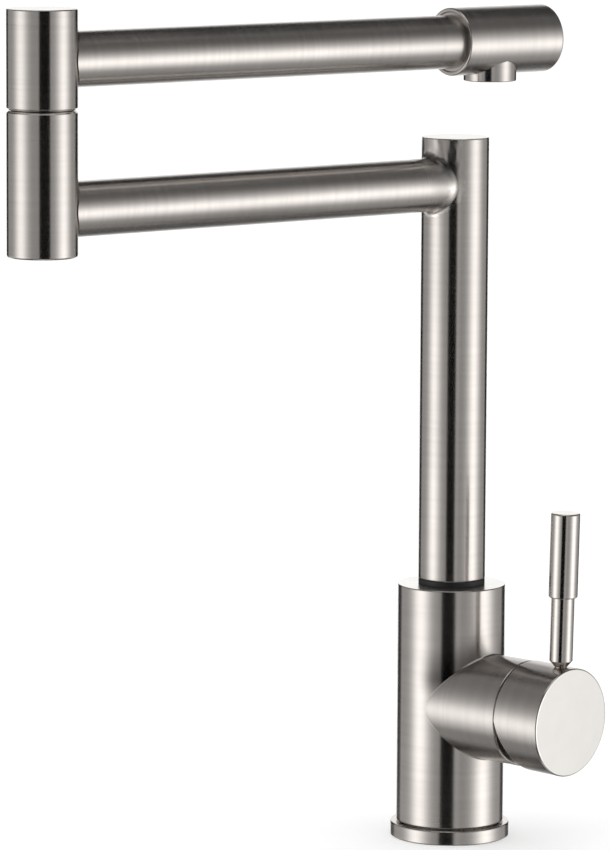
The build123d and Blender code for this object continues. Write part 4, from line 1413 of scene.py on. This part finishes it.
@dataclass
class Handle:
    """Handle cap and the pin lever that stands on it."""

    lean: float = radians(1.5)
    pivot: Triple = (0.034, 0.0, 0.0572)
    back: float = 0.04285
    face: float = 0.0657
    radius: float = 0.0225
    wall: float = 0.0022
    edge: float = 0.0006
    cut: float = radians(18)
    boss: float = 0.0075
    boss_length: float = 0.0135
    stem: float = 0.0071
    lever_back: float = 0.0064
    pin: float = 0.0048
    pin_length: float = 0.0297
    taper: float = 0.0026
    neck: float = 0.0025
    grip: float = 0.006
    grip_length: float = 0.0346
    clamp: float = 0.00355
    pin_ease: float = 0.0004
    grip_ease: float = 0.0006
    top_ease: float = 0.0007

    def axes(self) -> tuple[Axle, Axle]:
        """Axles of the cap, its reach counted from the branch's root, and of the pin lever.

        Returns:
            The two axles.
        """
        out = (cos(self.lean), 0.0, -sin(self.lean))
        up = (sin(self.lean), 0.0, cos(self.lean))
        pivot = np.array(self.pivot)
        root = pivot - np.array(out) * self.pivot[0]
        foot = pivot + np.array(out) * (self.face - self.lever_back - self.pivot[0])
        return Axle(tuple(root), out, up), Axle(tuple(foot), up, out)

    def cap(self, axle: Axle, columns: int = 192) -> Sheet:
        """Turned cup whose lower rear edge slants.

        Rows run from the middle of the face over the wall to the rear edge, which lies at
        back + depth below the axis x tan(cut), then inside over the floor and the boss, whose hole is
        square: its radius at an angle is half the side over the larger of |cos| and |sin|.

        Args:
            axle: axis of the cap.
            columns: columns round.

        Returns:
            The sheet.
        """
        turn = even_turn(columns)
        floor = self.face - self.wall
        bore = self.radius - self.wall
        square = self.stem / 2 / np.maximum(np.abs(np.cos(turn)), np.abs(np.sin(turn)))
        outside = [(0.0, self.face), (self.radius, self.face, self.edge), (self.radius, self.back)]
        rows = level_rows(eased(outside)[:-1], columns)
        for radius, held, run in edge_steps(self.radius, bore, self.edge / 2):
            low = np.clip(-radius * np.cos(turn), 0, None)
            rows.append((np.full(columns, radius), self.back + (held + run) + low * tan(self.cut)))
        boss_end = floor - self.boss_length
        rows += level_rows([(bore, floor), (self.boss, floor), (self.boss, boss_end)], columns)
        rows += [(square, np.full(columns, boss_end)), (square, np.full(columns, floor))]
        rows += level_rows([(0.0, floor)], columns)
        return sheet_of(axle.place_rows(rows, turn)[0], turn, False, self.radius)

    def lever(self, axle: Axle) -> Sheet:
        """Turned rod: neck, taper, pin and the thicker grip.

        Args:
            axle: axis of the lever.

        Returns:
            The sheet.
        """
        neck_end = self.radius + SEAT_GAP
        foot = self.radius + self.pin_length
        top = foot + self.grip_length
        shoulder = foot - self.grip_ease
        profile = eased([(0.0, self.clamp), (self.neck, self.clamp), (self.neck, neck_end),
                         (self.pin, neck_end + self.taper, self.pin_ease), (self.pin, shoulder),
                         (self.grip, shoulder, self.grip_ease), (self.grip, top, self.top_ease),
                         (0.0, top)])
        return turned(axle, profile, self.grip, ring=False, columns=96)

    def build(self) -> None:
        """Builds the cap and the lever, and dresses the stem."""
        cap_axle, lever_axle = self.axes()
        add_piece("cap_shell", [self.cap(cap_axle)], HANDLE_STEEL, Body.HANDLE,
                  ["handle_cap"], cap_axle.along)
        add_piece("lever_rod", [self.lever(lever_axle)], LEVER_STEEL, Body.HANDLE,
                  ["pin_lever"], lever_axle.along)
        dress(PLAIN_STEEL, "lever_stem")


@dataclass
class Riser:
    """Tall tube of the spout, on its black glide ring and its spigot in the body."""

    wall: float = 0.0015
    plate: float = 0.002
    edge: float = 0.0005
    arm_bore: float = 0.0095
    ring_bore: float = 0.0111
    seal_middle: float = 0.00985
    seal: float = 0.0011

    def build(self, steel: WeldedSteel) -> None:
        """Builds the riser, the glide ring and the spigot's seals, and dresses the spigot.

        Args:
            steel: steel of the riser and the lower arm, which knows where the arm is welded on.
        """
        axle = upright("riser_tube")
        outer, foot, top = round_size("riser_tube")
        inner = outer - self.wall
        shells = pierced(axle, outer, inner, open_end(inner, outer, foot, self.edge),
                         closed_end(outer, inner, top, self.plate, self.edge),
                         [SideHole(steel.level, steel.heading % (2 * pi), self.arm_bore)], between=4)
        add_piece("riser_pipe", shells, steel, Body.LOWER_ARM, ["riser_tube"], UPWARDS)
        outer, foot, top = round_size("glide_ring")
        profile = ring_profile(self.ring_bore, outer, foot, top, (0.0, FINE_EASE, FINE_EASE, 0.0))
        add_piece("glide_band", [turned(axle, profile, outer)], TURNED_BLACK, Body.BASE,
                  ["glide_ring"])
        add_piece("riser_seal_rings", seal_rings("riser_seals", self.seal_middle, self.seal),
                  TURNED_BLACK, Body.LOWER_ARM, ["riser_seals"])
        dress(PLAIN_STEEL, "riser_spigot")


def seal_rings(node: str, middle: float, section: float) -> list[Sheet]:
    """Two round rubber rings at the lower and upper end of a packed pair: a circle carried round an axle.

    Args:
        node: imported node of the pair.
        middle: radius of the ring's middle line.
        section: radius of its section.

    Returns:
        The two sheets.
    """
    _, foot, top = round_size(node)
    angle = even_turn(24)
    rings = []
    for level in (foot + section, top - section):
        profile = np.stack([middle + section * np.cos(angle), level + section * np.sin(angle)], axis=-1)
        rings.append(turned(upright(node), profile, middle, columns=96))
    return rings


@dataclass
class LowerArm:
    """Lower arm and the long half of the elbow, with its plug."""

    arm: float = 0.011
    wall: float = 0.0015
    length: float = 0.210
    weld: float = 0.0024
    waver: float = 0.10
    notch: float = 0.0005
    barrel_wall: float = 0.0016
    foot_round: float = 0.001
    top_notch: float = 0.0008
    inside_run: float = 0.001
    plug_edge: float = 0.0004

    def build(self, steel: WeldedSteel) -> None:
        """Builds the arm, its barrel and the plug.

        Args:
            steel: steel of the riser and the lower arm, which knows where the arm is welded on.
        """
        heading, level = steel.heading, steel.level
        barrel, foot, top = round_size("lower_barrel")
        pipe = arm_sheet(level_axle((0.0, 0.0, level), heading), self.arm, self.arm - self.wall,
                         Cope(steel.post, fillet=self.weld, waver=self.waver),
                         Cope(barrel, notch=self.notch), self.length, between=4)
        add_piece("lower_arm_pipe", [pipe], steel, Body.LOWER_ARM, ["lower_arm_tube"])
        inner = barrel - self.barrel_wall
        shells = pierced(upright("lower_barrel"), barrel, inner,
                         open_end(inner, barrel, foot, self.foot_round),
                         notched_end(barrel, inner, top, self.top_notch, self.inside_run),
                         [SideHole(level, (heading + pi) % (2 * pi), self.arm - self.wall)])
        add_piece("lower_barrel_wall", shells, TUBE_STEEL, Body.LOWER_ARM,
                  ["lower_barrel"])
        plug, foot, top = round_size("lower_barrel_plug")
        profile = eased([(0.0, foot), (plug, foot, self.plug_edge), (plug, top), (0.0, top)])
        add_piece("barrel_foot_plug", [turned(upright("lower_barrel"), profile, plug, ring=False)],
                  TUBE_STEEL, Body.LOWER_ARM, ["lower_barrel_plug"])


@dataclass
class Elbow:
    """Spindle joint between the two barrels."""

    washer_bore: float = 0.0096
    seal_middle: float = 0.00835
    seal: float = 0.0011

    def build(self) -> None:
        """Builds the washer and the spindle's seals, and dresses the machined pieces."""
        outer, foot, top = round_size("elbow_washer")
        profile = ring_profile(self.washer_bore, outer, foot, top)
        add_piece("elbow_glide_ring", [turned(upright("elbow_washer"), profile, outer)], TURNED_BLACK,
                  Body.LOWER_ARM, ["elbow_washer"])
        add_piece("elbow_seal_rings", seal_rings("elbow_seals", self.seal_middle, self.seal),
                  TURNED_BLACK, Body.UPPER_ARM, ["elbow_seals"])
        dress(CAST_BRASS, "elbow_bush")
        dress(PLAIN_STEEL, "elbow_spindle", "elbow_clip")
        dress(BEARING_PLASTIC, "clip_washer")


@dataclass
class UpperArm:
    """Upper arm and the short half of the elbow."""

    arm: float = 0.011
    wall: float = 0.0015
    end: float = 0.2167
    notch: float = 0.0005
    barrel_wall: float = 0.0016
    plate: float = 0.002
    edge: float = 0.0005
    foot_notch: float = 0.0008
    inside_run: float = 0.001

    def build(self, axle: Axle, heading: float) -> None:
        """Builds the upper barrel and the arm.

        Args:
            axle: axis of the arm, from the elbow.
            heading: its direction, away from the elbow.
        """
        barrel, foot, top = round_size("upper_barrel")
        inner = barrel - self.barrel_wall
        lower_end = notched_end(barrel, inner, foot, -self.foot_notch, -self.inside_run)[::-1]
        shells = pierced(upright("upper_barrel"), barrel, inner, lower_end,
                         closed_end(barrel, inner, top, self.plate, self.edge),
                         [SideHole(axle.origin[2], heading % (2 * pi), self.arm - self.wall)])
        add_piece("upper_barrel_wall", shells, TUBE_STEEL, Body.UPPER_ARM,
                  ["upper_barrel"], UPWARDS)
        pipe = arm_sheet(axle, self.arm, self.arm - self.wall, Cope(barrel, notch=self.notch), None,
                         self.end)
        add_piece("upper_arm_pipe", [pipe], TUBE_STEEL, Body.UPPER_ARM,
                  ["upper_arm_tube"])


@dataclass
class SpoutHead:
    """Sleeve at the end of the upper arm, with the outlet and its aerator below."""

    radius: float = 0.014
    wall: float = 0.0016
    collar: float = 0.2064
    length: float = 0.0506
    end_wall: float = 0.0025
    end_edge: float = 0.001
    edge: float = 0.0006
    arm: float = 0.011
    bush_inset: float = 0.0006
    bush_end: float = 0.2167
    outlet_reach: float = 0.2283
    outlet: float = 0.011
    outlet_wall: float = 0.0017
    pocket: float = 0.0092
    passage: float = 0.0068
    outlet_edge: float = 0.0005
    outlet_seat: float = 0.00025

    def build(self, axle: Axle) -> None:
        """Builds the sleeve, the collar's bush and the outlet, and dresses the aerator.

        Args:
            axle: axis of the arm, from the elbow.
        """
        inner = self.radius - self.wall
        far = self.collar + self.length
        shells = pierced(axle, self.radius, inner,
                         open_end(inner, self.radius, self.collar, self.edge),
                         closed_end(self.radius, inner, far, self.end_wall, self.end_edge),
                         [SideHole(self.outlet_reach, pi, self.outlet + SEAT_GAP, self.outlet_seat)])
        add_piece("head_sleeve", shells, TUBE_STEEL, Body.UPPER_ARM, ["spout_head"],
                  faced=axle.along)
        bush = ring_profile(self.arm + SEAT_GAP, inner - SEAT_GAP, self.collar + self.bush_inset,
                            self.bush_end, (0.0, FINE_EASE, 0.0, 0.0))
        add_piece("collar_bush", [turned(axle, bush, inner)], TUBE_STEEL, Body.UPPER_ARM,
                  ["head_bush"])
        _, foot, top = round_size("outlet_boss")
        pocket, floor = self.outlet - self.outlet_wall, foot + self.pocket
        profile = eased([(self.outlet, top), (self.outlet, foot, self.outlet_edge),
                         (pocket, foot, FINE_EASE), (pocket, floor), (self.passage, floor),
                         (self.passage, top)], ring=True)
        add_piece("outlet_ferrule", [turned(upright("outlet_boss"), profile, self.outlet)], TUBE_STEEL,
                  Body.UPPER_ARM, ["outlet_boss"])
        dress(SEAL_RUBBER, "aerator_washer")
        dress(PLAIN_STEEL, "aerator_housing")
        dress(WHITE_MOULDING, "aerator_screen")


# Camera and studio


def standing(right: Sequence[float], up: Sequence[float], back: Sequence[float],
             place: Sequence[float]) -> Matrix:
    """Matrix of a camera or lamp.

    Args:
        right: its own right.
        up: its own up.
        back: direction away from what it faces.
        place: where it stands.

    Returns:
        The matrix.
    """
    rows = np.stack([right, up, back, place], axis=-1).tolist()
    return Matrix([*rows, (0.0, 0.0, 0.0, 1.0)])


@dataclass(frozen=True)
class PhotoCamera:
    """Camera at the photograph's viewing angle.

    Attributes:
        heading: direction from the faucet to the camera.
        pitch: height of the camera as an angle.
        roll: turn of the picture about the line of sight.
        distance: from the aim to the camera.
        aim_height: height of the point on the riser's axis from which the aim is counted.
        aim_right: how far the aim lies to the right of it.
        aim_up: how far the aim lies above it.
        lens: focal length, in millimetres.
        film: long side of the picture that the lens is counted for, in millimetres.
    """

    heading: float = CAMERA_HEADING
    pitch: float = radians(7.8069)
    roll: float = radians(0.297)
    distance: float = 2.1653
    aim_height: float = 0.180
    aim_right: float = -0.061866
    aim_up: float = -0.006337
    lens: float = 220.235
    film: float = 36.0

    def axes(self) -> tuple[Array, Array, Array]:
        """Right, up and back of the camera.

        Returns:
            Three unit vectors.
        """
        level = np.array([cos(self.heading), sin(self.heading), 0.0])
        back = level * cos(self.pitch) + np.array(UPWARDS) * sin(self.pitch)
        right = np.array([-sin(self.heading), cos(self.heading), 0.0])
        up = np.cross(back, right)
        turn, lean = cos(self.roll), sin(self.roll)
        return turn * right + lean * up, turn * up - lean * right, back

    def build(self) -> None:
        """Makes the camera and takes it into use."""
        right, up, back = self.axes()
        aim = np.array([0.0, 0.0, self.aim_height]) + right * self.aim_right + up * self.aim_up
        place = aim + back * self.distance
        data = bpy.data.cameras.new("photo_camera")
        data.lens = self.lens
        data.sensor_width = self.film
        data.sensor_fit = "AUTO"
        data.clip_start, data.clip_end = 0.05, 50.0
        camera = linked("photo_camera", data)
        camera.matrix_world = standing(right, up, back, place)
        bpy.context.scene.camera = camera


def eased_step(value: Array, start: float, end: float) -> Array:
    """Smooth step from 0 at start to 1 at end: 3 t^2 - 2 t^3."""
    share = np.clip((value - start) / (end - start), 0, 1)
    return share * share * (3 - 2 * share)


def one_face(name: str, corners: Iterable[Sequence[float]]) -> bpy.types.Mesh:
    """Mesh of one face through four corners."""
    mesh = bpy.data.meshes.new(name)
    mesh.from_pydata([tuple(corner) for corner in corners], [], [(0, 1, 2, 3)])
    return mesh


def glow_in_reflections(thing: bpy.types.Object, material: str, brightness: float | str) -> None:
    """Makes a thing of the studio glow, and hides it from all but reflections.

    Args:
        thing: the thing.
        material: name of its material.
        brightness: its brightness, or the name of the attribute that holds it.
    """
    graph = Paint(material)
    graph.tree.nodes.remove(graph.shader)
    if isinstance(brightness, str):
        brightness = graph.made("ShaderNodeAttribute", {}, "Fac", attribute_name=brightness)
    emission = graph.made("ShaderNodeEmission", {"Strength": brightness})
    graph.feed(graph.tree.nodes["Material Output"], {"Surface": emission})
    graph.material.cycles.emission_sampling = "NONE"
    thing.data.materials.append(graph.material)
    for flag in ("visible_camera", "visible_diffuse", "visible_transmission", "visible_shadow",
                 "visible_volume_scatter"):
        setattr(thing, flag, False)


class Side(Enum):
    """Which sides of the studio a patch of the tent lies on."""

    BOTH = "both"
    LEFT = "left"
    RIGHT = "right"


@dataclass(frozen=True)
class Patch:
    """Patch of the tent with soft edges, its angles in degrees.

    Attributes:
        glow: its brightness.
        rise: heights between which it comes in, going up.
        fall: heights between which it goes out again.
        enter: angles from the camera's direction between which it comes in, going round to the back.
        leave: angles between which it goes out again.
        side: side that it lies on.
        strength: how much of it shows where it is whole.
    """

    glow: float
    rise: Optional[Pair] = None
    fall: Optional[Pair] = None
    enter: Optional[Pair] = None
    leave: Optional[Pair] = None
    side: Side = Side.BOTH
    strength: float = 1.0

    def over(self, glow: Array, azimuth: Array, height: Array,
             lift: float | Array = 0.0) -> Array:
        """Tent with this patch: the share at a place is the product of the eased steps of its edges.

        Args:
            glow: brightness without it.
            azimuth: degrees to the right of the camera's direction.
            height: degrees over the level.
            lift: degrees by which its upper edge is raised.

        Returns:
            glow + (its own glow - glow) x share.
        """
        share = self.strength * np.ones_like(azimuth)
        around = np.abs(azimuth)
        for value, coming, going in ((height, self.rise, None), (height - lift, None, self.fall),
                                     (around, self.enter, self.leave)):
            if coming:
                share = share * eased_step(value, *coming)
            if going:
                share = share * (1 - eased_step(value, *going))
        if self.side is not Side.BOTH:
            share = share * ((azimuth < 0) == (self.side is Side.LEFT))
        return glow + (self.glow - glow) * share


@dataclass(frozen=True)
class SoftLight:
    """Soft round light that shines through the tent.

    Attributes:
        azimuth: degrees from the camera's direction, positive to the right.
        height: degrees over the level.
        wide: degrees from its middle to a third of its brightness, sideways.
        tall: the same, upwards.
        glow: brightness of its middle.
    """

    azimuth: float
    height: float
    wide: float
    tall: float
    glow: float

    def over(self, glow: Array, azimuth: Array, height: Array) -> Array:
        """Tent with this light: + its glow x exp(-(sideways / wide)^2 - (upwards / tall)^2)."""
        sideways, upwards = (azimuth - self.azimuth) / self.wide, (height - self.height) / self.tall
        return glow + self.glow * np.exp(-sideways ** 2 - upwards ** 2)


@dataclass(frozen=True)
class Panel:
    """Soft box or board that faces the faucet.

    Attributes:
        name: its name.
        azimuth: angle from the camera's direction, to the right.
        distance: from the riser's axis.
        height: height of its middle.
        width: its width.
        tall: its height from edge to edge.
        glow: brightness of its face.
    """

    name: str
    azimuth: float
    distance: float
    height: float
    width: float
    tall: float
    glow: float


@dataclass
class Studio:
    """White floor and background, two soft boxes, and a tent and a dark board that only reflections see.

    The tent's cloth is an even grey, dark over the camera, less so over the sides and darker again behind
    them, paler in a belt low down behind, and dark below that. Soft lights shine through it. Before it
    hang a dark flag at each side behind, a dark cloth low in front, and a white strip between the flags,
    whose upper edge is higher to the left. Straight up and down it is white.

    The white ends start at end_height, and up to end_raise later behind and low down. All its angles are
    in degrees, from the camera's direction and over the level.
    """

    white: float = 1.0
    plain_level: float = 0.8
    floor_size: float = 6.0
    floor_lift: float = 0.35
    papers: Pair = (0.87, 0.89)
    tent_radius: float = 5.0
    tent_height: float = 0.18
    tent_step: float = 2.0
    cloth: float = 0.38
    cloth_patches: tuple[Patch, ...] = (
        Patch(0.05, rise=(18, 34), leave=(45, 65)),
        Patch(0.25, rise=(12, 36), enter=(55, 90), side=Side.LEFT),
        Patch(0.125, rise=(12, 36), enter=(55, 90), side=Side.RIGHT),
        Patch(0.0, rise=(12, 36), enter=(98, 136), strength=0.85),
        Patch(0.65, rise=(-34, -27), fall=(-21, -15), enter=(95, 115)),
        Patch(0.05, fall=(-44, -34), enter=(108, 130)),
    )
    lights: tuple[SoftLight, ...] = (
        SoftLight(-70.5, -12.5, 21.5, 19.5, 1.68),
        SoftLight(73.5, -12.0, 22.5, 20.5, 1.74),
        SoftLight(13.0, -8.0, 5.0, 40.0, 0.14),
    )
    hangings: tuple[Patch, ...] = (
        Patch(0.02, rise=(-20, -14), fall=(16, 30), enter=(134, 138)),
        Patch(0.04, fall=(-48, -34), leave=(80, 100), side=Side.LEFT),
        Patch(0.04, fall=(-48, -34), leave=(58, 76), side=Side.RIGHT),
    )
    strip: Patch = Patch(1.15, rise=(-28, -22), fall=(23, 30), enter=(160, 163))
    strip_lift: float = 9.0
    strip_middle: Pair = (172, 180)
    ends: float = 1.0
    end_height: float = 55.0
    end_raise: float = 13.0
    end_behind: Pair = (60, 105)
    end_below: Pair = (0, 20)
    end_ease: float = 8.0
    front_board: Panel = Panel("front_board", radians(-7.8), 0.55, 0.25, 0.279, 1.3, 0.006)
    lamps: tuple[Panel, ...] = (
        Panel("left_box", radians(-74), 0.95, 0.16, 0.55, 0.55, 1.7),
        Panel("right_box", radians(76), 0.95, 0.10, 0.60, 0.50, 1.8),
    )

    def toward(self, azimuth: float) -> tuple[Array, Array]:
        """Level unit vectors towards an angle to the right of the camera's direction, and across it."""
        angle = CAMERA_HEADING + azimuth
        return np.array([cos(angle), sin(angle), 0.0]), np.array([-sin(angle), cos(angle), 0.0])

    def world(self) -> None:
        """Makes the background white to the camera and in reflections, and a plain level to the rest."""
        world = bpy.data.worlds.new("white_room")
        bpy.context.scene.world = world
        world.use_nodes = True
        world.cycles.sampling_method = "NONE"
        graph = Graph(world.node_tree)
        level = graph.spread(graph.seen(), self.plain_level, self.white, start=0.0, end=1.0)
        graph.feed(graph.tree.nodes["Background"], {"Strength": level, "Color": (1.0, 1.0, 1.0, 1.0)})

    def floor(self) -> None:
        """Lays a pale floor that keeps the shadow and is lifted to white where the camera sees it."""
        size = self.floor_size
        corners = ((-size, -size, 0), (size, -size, 0), (size, size, 0), (-size, size, 0))
        floor = linked("floor", one_face("floor", corners))
        graph = Paint("floor_paper")
        paper = graph.noise(graph.place(Coordinates.OBJECT), 40.0, detail=2.0)
        dark, light = ((shade,) * 3 for shade in self.papers)
        lift = graph.spread(graph.seen(), 0.0, self.floor_lift, start=0.0, end=1.0)
        graph.feed(graph.shader, {"Base Color": graph.tint(paper, [(0.3, dark), (0.7, light)]),
                                  "Roughness": 0.9, "Specular IOR Level": 0.0,
                                  "Emission Color": (1.0, 1.0, 1.0, 1.0), "Emission Strength": lift})
        floor.data.materials.append(graph.material)
        floor.visible_glossy = False

    def glow_map(self, azimuth: Array, height: Array) -> Array:
        """Brightness of the tent in each direction: its cloth, its lights, what hangs before it, its ends.

        Args:
            azimuth: degrees from the camera's direction, positive to the right.
            height: degrees over the level.

        Returns:
            Brightness of each place.
        """
        glow = self.cloth * np.ones_like(azimuth)
        for layer in (*self.cloth_patches, *self.lights, *self.hangings):
            glow = layer.over(glow, azimuth, height)
        around = np.abs(azimuth)
        lift = self.strip_lift * (1 - eased_step(around, *self.strip_middle)) * (azimuth < 0)
        glow = self.strip.over(glow, azimuth, height, lift)
        raised = np.maximum(eased_step(around, *self.end_behind), eased_step(-height, *self.end_below))
        end = self.end_height + self.end_raise * raised
        return glow + (self.ends - glow) * eased_step(np.abs(height), end, end + self.end_ease)

    def tent(self) -> None:
        """Hangs the tent: a sphere whose every point has its brightness, seen by reflections only."""
        azimuth = np.radians(np.arange(-180, 180, self.tent_step))
        height = np.radians(np.linspace(-90, 90, int(180 / self.tent_step) + 1))
        wide, tall = np.meshgrid(azimuth, height, indexing="xy")
        angle = CAMERA_HEADING + wide
        ray = np.stack([np.cos(angle) * np.cos(tall), np.sin(angle) * np.cos(tall), np.sin(tall)], axis=-1)
        points = np.array([0, 0, self.tent_height]) + ray * self.tent_radius
        index = np.arange(wide.size).reshape(wide.shape)
        right = np.roll(index, -1, axis=1)
        faces = np.stack([index[:-1], index[1:], right[1:], right[:-1]], axis=-1).reshape(-1, 4)
        mesh = bpy.data.meshes.new("tent")
        mesh.from_pydata(points.reshape(-1, 3).tolist(), [], faces.tolist())
        shade = mesh.attributes.new(GLOW, "FLOAT", "POINT")
        glow = self.glow_map(np.degrees(wide), np.degrees(tall))
        shade.data.foreach_set("value", glow.ravel().astype(np.float32))
        glow_in_reflections(linked("tent", mesh), "tent_cloth", GLOW)

    def board(self) -> None:
        """Stands the front board."""
        board = self.front_board
        out, across = self.toward(board.azimuth)
        middle = out * board.distance + np.array(UPWARDS) * board.height
        right, up = across * board.width / 2, np.array(UPWARDS) * board.tall / 2
        corners = [middle - right - up, middle + right - up, middle + right + up, middle - right + up]
        glow_in_reflections(linked(board.name, one_face(board.name, corners)), board.name + "_card",
                            board.glow)

    def boxes(self) -> None:
        """Hangs the soft boxes, their power reckoned from the brightness of their faces."""
        for lamp in self.lamps:
            data = bpy.data.lights.new(lamp.name, "AREA")
            data.shape = "RECTANGLE"
            data.size, data.size_y = lamp.width, lamp.tall
            data.energy = lamp.glow * pi * lamp.width * lamp.tall
            light = linked(lamp.name, data)
            out, across = self.toward(lamp.azimuth)
            place = out * lamp.distance + np.array([0, 0, lamp.height])
            light.matrix_world = standing(across, UPWARDS, out, place)
            light.visible_camera = False
            light.visible_glossy = False

    def build(self) -> None:
        """Builds the studio and keeps the picture's own colours."""
        self.world()
        self.floor()
        self.tent()
        self.boxes()
        self.board()
        bpy.context.scene.view_settings.view_transform = "Standard"


def main() -> None:
    """Builds the faucet from the foot up, then the camera and the studio."""
    logging.basicConfig(level=logging.INFO, format="%(message)s")
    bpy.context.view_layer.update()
    elbow_x, elbow_y, _ = middle("lower_barrel")
    heading = atan2(elbow_y, elbow_x)
    arm_low, arm_high = span("lower_arm_tube")
    # The steel of the riser and lower arm carries painted shade and a painted highlight along the weld's
    # seam.
    welded = WeldedSteel("welded_tube_steel_painted_seam", heading=heading, level=middle("lower_arm_tube")[2],
                         post=round_size("riser_tube")[0], arm=float(arm_high[2] - arm_low[2]) / 2)
    back = heading + pi
    upper = level_axle((elbow_x, elbow_y, middle("upper_arm_tube")[2]), back)
    Foot().build()
    BodyColumn().build()
    Mixer().build()
    Handle().build()
    Riser().build(welded)
    LowerArm().build(welded)
    Elbow().build()
    UpperArm().build(upper, back)
    SpoutHead().build(upper)
    PhotoCamera().build()
    Studio().build()


if __name__ == "__main__":
    main()
